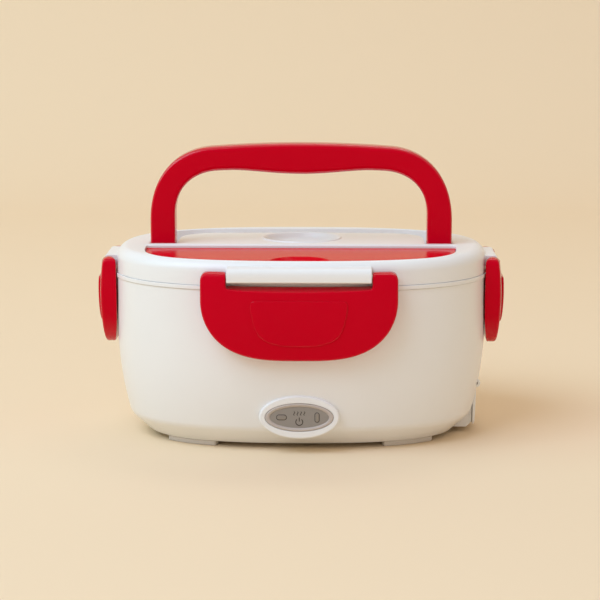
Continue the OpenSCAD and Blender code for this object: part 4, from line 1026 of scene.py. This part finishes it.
FLANGE_TOP = box("inner_well")[1][2]
WELL_LOW = FLANGE_TOP - 73.7
WELL_T = 1.8
WELL_IN = 10.2                   # inset of the well's wall at its top
FLANGE_OUT = 3.6
PLATE_HOLE_R = 33.0
POST_X, POST_Y = 62, 24          # screw posts of the base cover
CLAMP_X = 41                     # screw bosses of the clamp strip
PILOT_R = 1.43
well_side = spline([Vector(p) for p in (
    (-2, 24), (0, 20), (1.5, 17.6), (5, 15.8), (30, 13), (71.9, WELL_IN), (90, 9))], 8)
well = skin("well", plan_rings(
    [(max(p.y, WELL_IN), WELL_LOW + p.x) for p in well_side]
    + [(WELL_IN, FLANGE_TOP - WELL_T), (FLANGE_OUT + 0.2, FLANGE_TOP - WELL_T),
       (FLANGE_OUT, FLANGE_TOP - WELL_T + 0.2), (FLANGE_OUT, FLANGE_TOP - 0.2), (FLANGE_OUT + 0.2, FLANGE_TOP),
       (WELL_IN + WELL_T - 0.5, FLANGE_TOP), (WELL_IN + WELL_T, FLANGE_TOP - 0.5)]
    + [(max(p.y, WELL_IN) + WELL_T, WELL_LOW + WELL_T + p.x) for p in reversed(well_side) if p.x < 66]))
posts = [(x, y) for x in (-POST_X, POST_X) for y in (-POST_Y, POST_Y)]
for x, y, low in [(x, y, 5.1) for x, y in posts] + [(CLAMP_X, 0, 14.6), (-CLAMP_X, 0, 14.6)]:
    carve(well, disc_stack("boss", x, y, [(3.6, low), (4, low + 0.4), (4, WELL_LOW + 0.5)], 32), "UNION")
    carve(well, disc_stack("pilot", x, y, [(PILOT_R, low - 1), (PILOT_R, low + 6)], 24))
carve(well, disc_stack("plate_hole", 0, 0, [(PLATE_HOLE_R, WELL_LOW - 2), (PLATE_HOLE_R, WELL_LOW + 4)], 96))
complete(well, moulded("well_polypropylene", (0.80, 0.80, 0.79), 0.36, grain=0.07),
         "inner_well", "base")


def spun(name, colour, roughness):
    """Turned metal with fine rings round the upright axis."""
    material, tree, place = new_material(name)
    rings = add(tree, "TexWave", {"Vector": place, "Scale": 420.0, "Distortion": 1.5, "Detail": 3.0},
                wave_type="RINGS", rings_direction="Z").outputs["Fac"]
    stains = add(tree, "TexNoise", {"Vector": place, "Scale": 38.0, "Detail": 5.0}).outputs["Fac"]
    shader = surface(tree, stains, shades(colour, 0.86, 1.0), roughness, (0.8, 1.3), rings, 0.12)
    shader.inputs["Metallic"].default_value = 1.0
    return material


HOT_LOW, HOT_R, HOT_TOP = box("heating_plate")[0][2], box("heating_plate")[1][0], box("heating_plate")[1][2]
HOT_T = 1.7
half_groove = ((1.35, 0), (1.1, 0.08), (0.7, 0.34), (0.3, 0.4))
grooves = [(r + way * across, HOT_TOP - deep) for r in (26, 14)
           for way, side in ((1, half_groove), (-1, half_groove[::-1])) for across, deep in side]
heating_plate = disc_stack("hot_plate", 0, 0, [
    (PLATE_HOLE_R - 0.9, HOT_LOW), (PLATE_HOLE_R - 0.3, HOT_LOW + 0.6), (PLATE_HOLE_R - 0.3, HOT_TOP - HOT_T),
    (HOT_R - 0.2, HOT_TOP - HOT_T), (HOT_R, HOT_TOP - HOT_T + 0.2), (HOT_R, HOT_TOP - 0.5),
    (HOT_R - 0.15, HOT_TOP - 0.15), (HOT_R - 0.5, HOT_TOP)] + grooves + [(4, HOT_TOP)], 128)
complete(heating_plate, spun("spun_aluminium", (0.74, 0.74, 0.75), 0.34), "heating_plate", "base")


# ---------- Heater and wiring ----------
# Under the well: a mica-faced heating ring, a felt pad and a steel strip that clamps them up, then
# a thermostat, a thermal fuse, a terminal block, five insulated wires and the lamps on their board.


def fibrous(name, colour, dark, roughness, scale, relief):
    """Felt, mica or board: a mottled colour with a matching uneven surface."""
    material, tree, place = new_material(name)
    grain = add(tree, "TexNoise", {"Vector": place, "Scale": scale, "Detail": 6.0, "Roughness": 0.65})
    surface(tree, grain.outputs["Fac"], (dark, colour), roughness, (0.85, 1.15), grain.outputs["Fac"],
            relief, 0.0004)
    return material


screw_steel = metal("screw_steel", (0.55, 0.54, 0.52), 0.26, (1, 1, 0.1))
for node, material, edge in (
        ("heater_element", fibrous("mica_ring", (0.30, 0.24, 0.19), (0.17, 0.13, 0.10), 0.45, 900, 0.3), 0.1),
        ("insulation_pad", fibrous("glass_felt", (0.80, 0.77, 0.68), (0.62, 0.58, 0.48), 0.95, 1400, 0.9), 0.3),
        ("heater_clamp", metal("plated_strip_steel", (0.56, 0.56, 0.57), 0.33, (1, 0.05, 1)), 0.2),
        ("clamp_screws", screw_steel, 0.12),
        ("thermostat", moulded("dark_bakelite", (0.045, 0.036, 0.032), 0.38, grain=0.15), 0.3),
        ("thermal_fuse", metal("fuse_can", (0.70, 0.69, 0.67), 0.3, (0.05, 1, 1)), 0.25),
        ("terminal_block", moulded("cream_nylon", (0.72, 0.69, 0.58), 0.4, grain=0.1), 0.25),
        ("indicator_board", fibrous("green_circuit_board", (0.035, 0.19, 0.075), (0.025, 0.12, 0.05),
                                    0.35, 500, 0.1), 0.08),
        ("heat_lamp", moulded("red_lamp", (0.55, 0.02, 0.01), 0.12, grain=0.02), 0.2),
        ("power_lamp", moulded("green_lamp", (0.05, 0.42, 0.09), 0.12, grain=0.02), 0.2)):
    dress(node, material, edge)
for node, colour in (("wire_live", (0.16, 0.055, 0.022)), ("wire_neutral", (0.02, 0.09, 0.40)),
                     ("wire_heater", (0.68, 0.67, 0.63)), ("wire_fuse", (0.70, 0.69, 0.64)),
                     ("wire_lamps", (0.50, 0.02, 0.02))):
    dress(node, moulded(node + "_sleeve", colour, 0.48, grain=0.1), 0)


# ---------- Power inlet ----------
# A moulded housing low in the right-hand wall with two nickel pins in its socket. A flap with a
# finger lip hangs over it from a steel pin and swings up.

dress("inlet_housing", white_plastic, 0.35)
dress("inlet_contacts", metal("nickel_pins", (0.66, 0.62, 0.56), 0.2, (0.05, 1, 1)), 0.35)
FLAP_BACK, _, FLAP_LOW = box("inlet_flap")[0]
FLAP_FACE = HINGE_X + 0.2
FLAP_CORNER = 2.5
FLAP_LEAN = 0.45 * (FLAP_FACE - FLAP_BACK)   # how much thinner it is at its foot
BARREL_R = 1.8
corner = soft_corner((FLAP_HALF, HINGE_Z), (FLAP_HALF, FLAP_LOW), (-FLAP_HALF, FLAP_LOW), FLAP_CORNER, 8)
right = [Vector((FLAP_HALF, HINGE_Z))] + corner
outline = evenly([Vector((-p.x, p.y)) for p in right] + right[::-1], 200, closed=True)
flap = plate("flap_leaf", outline,
             lambda p: FLAP_FACE - FLAP_LEAN * ((HINGE_Z - p.y) / (HINGE_Z - FLAP_LOW)) ** 2,
             lambda p: FLAP_BACK, 0.5, 0.2, lambda p, h: (h, p.x, p.y), pitch=2.5)
barrel = rod("flap_barrel", BARREL_R, -FLAP_HALF, FLAP_HALF, HINGE_X, HINGE_Z, edge=0.3, count=40)
lip = skin("flap_lip", [[(FLAP_FACE - FLAP_LEAN + share * x, y, FLAP_LOW + 0.6 + 0.6 * v) for x, v in (
    (-0.3, -1), (0.6, -1), (0.85, -0.8), (1.0, -0.4), (1.0, 0.4), (0.85, 0.8), (0.6, 1), (-0.3, 1))]
    for y, share in ((-8, 0.3), (-7.6, 0.8), (-7, 1), (7, 1), (7.6, 0.8), (8, 0.3))])
for piece in (flap, barrel, lip):
    complete(piece, white_plastic, "inlet_flap", "inlet_flap")


# ---------- Base cover, screws and feet ----------
# A flat white plate with cooling slots closes the bottom. Four cross-head screws hold it to posts
# under the well, and a soft grey pad follows each corner of the bottom edge.

COVER_HIGH = box("base_cover")[1][2]
EDGE_IN = BASE_IN + WALL + 0.3
SLOTS, SLOT_PITCH, SLOT_L, SLOT_W = 7, 7.0, 40.0, 2.4
SCREW_HOLE_R = 1.6
base_cover = skin("base_plate", plan_rings([
    (EDGE_IN + 3, BASE_LOW), (EDGE_IN + 0.4, BASE_LOW), (EDGE_IN + 0.1, BASE_LOW + 0.12),
    (EDGE_IN, BASE_LOW + 0.4), (EDGE_IN, COVER_HIGH - 0.2), (EDGE_IN + 0.2, COVER_HIGH),
    (EDGE_IN + 3, COVER_HIGH)]))
for i in range(SLOTS):
    across = (i - (SLOTS - 1) / 2) * SLOT_PITCH
    carve(base_cover, upright("slot", [Vector((across - p.y, p.x)) for p in capsule(SLOT_L, SLOT_W)], [
        (0.8, BASE_LOW - 0.5), (0.3, BASE_LOW), (0, BASE_LOW + 0.35), (0, COVER_HIGH + 1)]))
for x, y in posts:
    carve(base_cover, disc_stack("screw_hole", x, y, [
        (SCREW_HOLE_R, BASE_LOW - 1), (SCREW_HOLE_R, COVER_HIGH + 1)], 32))
complete(base_cover, white_plastic, "base_cover", "base")
dress("base_screws", screw_steel, 0.15)

FOOT_OUT, FOOT_IN = BASE_IN + 0.2, BASE_IN + 6.5
FOOT_ARC = 14                    # degrees of the outline to each side of its middle
FOOT_ROUND = 1.6
# the pads' own grey, warmed a little as painted bounce light from the cream paper
foot_grey_and_painted_bounce = moulded("soft_grey_pad_with_painted_bounce", (0.64, 0.585, 0.52), 0.6, grain=0.25, scale=700)
for number, middle in enumerate((52, 128, 232, 308)):
    sweep = arc(middle - FOOT_ARC, middle + FOOT_ARC, 40)
    far, near = [plan_point(a, FOOT_OUT) for a in sweep], [plan_point(a, FOOT_IN) for a in reversed(sweep)]
    line = []
    for edge, beside in ((far, near), (near, far)):
        line += (edge[2:-2] + soft_corner(edge[-3], edge[-1], beside[0], FOOT_ROUND)
                 + soft_corner(edge[-1], beside[0], beside[2], FOOT_ROUND))
    foot = upright("foot_%d" % (number + 1), evenly(line, 120, closed=True),
                   [(-0.7, 0), (-0.3, 0.08), (-0.08, 0.3), (0, 0.7), (0, BASE_LOW)])
    complete(foot, foot_grey_and_painted_bounce, "feet", "base")


# ---------- Food containers ----------
# The main container is a thin milky tub whose rim rests on the body. A smaller round-cornered one
# stands in it under a red snap lid. Both lift out.

TUB_LOW, TUB_RIM = [corner[2] for corner in box("main_container")]
TUB_T = 1.6
TUB_IN = 12.7                    # inset of the tub's wall under its rim
tub_side = spline([Vector(p) for p in (
    (-2, 28), (0, 23.7), (0.8, 21.1), (2.6, 19.1), (7, 17.5), (36, 15.1),
    (TUB_RIM - 0.3 - TUB_LOW, TUB_IN), (90, 11.5))], 8)
tub = skin("main_tub", plan_rings(
    [(p.y, TUB_LOW + p.x) for p in tub_side if TUB_LOW + p.x < TUB_RIM - 1.5]
    + [(TUB_IN, TUB_RIM - 1.4), (6.65, TUB_RIM - 1.4), (6.45, TUB_RIM - 1.2), (6.4, TUB_RIM - 0.7),
       (6.5, TUB_RIM - 0.25), (6.8, TUB_RIM), (TUB_IN + TUB_T - 0.6, TUB_RIM),
       (TUB_IN + TUB_T - 0.15, TUB_RIM - 0.2), (TUB_IN + TUB_T, TUB_RIM - 0.7)]
    + [(p.y + TUB_T, TUB_LOW + TUB_T + p.x) for p in reversed(tub_side) if p.x < 64]))
(box_left, _, BOX_LOW), (box_right, BOX_B, BOX_TOP) = box("side_container")
BOX_X, BOX_A = (box_left + box_right) / 2, (box_right - box_left) / 2
BOX_T = 1.4
BOX_ROUND = 3.2


def box_rings(profile):
    """Round-cornered rings of the side container, from a list of (how much smaller, height)."""
    return [[(BOX_X + p.x, p.y, z) for p in oval(BOX_A - smaller, BOX_B - smaller, BOX_ROUND, 160)]
            for smaller, z in profile]


box_side = [(7.0, 0), (5.9, 0.25), (4.9, 0.7), (4.0, 1.5), (3.2, 2.9), (2.6, 4.5), (1.9, 20), (1.0, 38),
            (0, BOX_TOP - BOX_LOW - 0.6)]
side_box = skin("side_box", box_rings(
    [(s, BOX_LOW + z) for s, z in box_side]
    + [(0, BOX_TOP - 0.3), (0.2, BOX_TOP - 0.05), (0.5, BOX_TOP), (BOX_T - 0.4, BOX_TOP), (BOX_T, BOX_TOP - 0.4)]
    + [(s + BOX_T, BOX_LOW + BOX_T + z) for s, z in box_side[-2::-1]]))
SNAP_LOW, SNAP_TOP = BOX_TOP + 0.3, box("side_container_lid")[1][2]
snap_lid = skin("snap_lid", box_rings([
    (BOX_T + 4, SNAP_LOW), (BOX_T + 1.8, SNAP_LOW), (BOX_T + 1.8, SNAP_LOW - 2.2), (BOX_T + 1.5, SNAP_LOW - 2.5),
    (BOX_T + 0.9, SNAP_LOW - 2.5), (BOX_T + 0.6, SNAP_LOW - 2.2), (BOX_T + 0.6, SNAP_LOW), (-0.4, SNAP_LOW),
    (-0.6, SNAP_LOW + 0.2), (-0.6, SNAP_TOP - 0.5), (-0.45, SNAP_TOP - 0.15), (-0.1, SNAP_TOP), (5.4, SNAP_TOP),
    (5.85, SNAP_TOP - 0.12), (6.1, SNAP_TOP - 0.65), (6.5, SNAP_TOP - 0.8), (9, SNAP_TOP - 0.8)]))
container_plastic = moulded("milky_polypropylene", (0.83, 0.83, 0.80), 0.32, grain=0.05)
complete(tub, container_plastic, "main_container", "main_container")
complete(side_box, container_plastic, "side_container", "side_container")
complete(snap_lid, moulded("satin_red_plastic", (0.48, 0.012, 0.016), 0.36, grain=0.08),
         "side_container_lid", "side_container_lid")


# ---------- Studio ----------
# A cream paper sweep under and behind the box, a large soft lamp from the upper left front, a
# weaker one each from the left and from behind, and the camera a little above the lid.

PAPER = (0.89, 0.715, 0.50)      # the studio is laid out in metres
SWEEP_R, SWEEP_BACK, SWEEP_HALF, SWEEP_H = 0.5, 1.5, 6.0, 3.0
floor_line = [(-3.0, 0.0)] + [(SWEEP_BACK - SWEEP_R * (1 - math.sin(a)), SWEEP_R * (1 - math.cos(a)))
                              for a in arc(0, 90, 24)] + [(SWEEP_BACK, SWEEP_H)]
sheet = bmesh.new()
rows = [[sheet.verts.new((x, y, z)) for y, z in floor_line] for x in (-SWEEP_HALF, SWEEP_HALF)]
for i in range(len(floor_line) - 1):
    sheet.faces.new((rows[0][i], rows[1][i], rows[1][i + 1], rows[0][i + 1])).smooth = True
sweep = as_object("paper_sweep", sheet)
paper = bpy.data.materials.new("cream_paper")
paper.use_nodes = True
for socket, value in (("Base Color", (*PAPER, 1)), ("Roughness", 0.9), ("Specular IOR Level", 0.1)):
    paper.node_tree.nodes["Principled BSDF"].inputs[socket].default_value = value
paint(sweep, paper)

world = bpy.data.worlds.new("studio")
bpy.context.scene.world = world
world.use_nodes = True
world.node_tree.nodes["Background"].inputs["Color"].default_value = (1.0, 0.92, 0.84, 1)
world.node_tree.nodes["Background"].inputs["Strength"].default_value = 0.60


def put(name, data, place, target):
    """Puts a lamp or camera in the scene, turned to a target."""
    holder = bpy.data.objects.new(name, data)
    bpy.context.collection.objects.link(holder)
    holder.location = place
    holder.rotation_euler = (target - Vector(place)).to_track_quat("-Z", "Y").to_euler()
    return holder


for name, place, size, watts, colour in (("key", (-1.38, -1.38, 2.38), 1.9, 51, (0.59, 0.74, 1.0)),
                                         ("side", (-2.45, -0.43, 1.80), 1.6, 14, (0.50, 0.95, 1.0)),
                                         ("rear", (0.35, 1.70, 2.30), 1.6, 20, (0.85, 0.93, 1.0))):
    lamp = bpy.data.lights.new(name, "AREA")
    lamp.shape, lamp.size = "SQUARE", size
    lamp.energy, lamp.color = watts, colour
    put(name, lamp, place, Vector((0, 0, 0.06)))

AIM = Vector((0, 0, 0.055))
AZIMUTH, ELEVATION = math.radians(0.85), math.radians(10.8)
DISTANCE = 1.180
LENS = 119.1                     # on a 36 mm sensor
view = bpy.data.cameras.new("camera")
view.sensor_width, view.lens = 36, LENS
view.shift_x, view.shift_y = -0.002, 0.0583
view.clip_start = 0.05
bpy.context.scene.camera = put("camera", view, AIM + DISTANCE * Vector((
    math.sin(AZIMUTH) * math.cos(ELEVATION), -math.cos(AZIMUTH) * math.cos(ELEVATION), math.sin(ELEVATION))), AIM)
bpy.context.scene.view_settings.view_transform = "Standard"
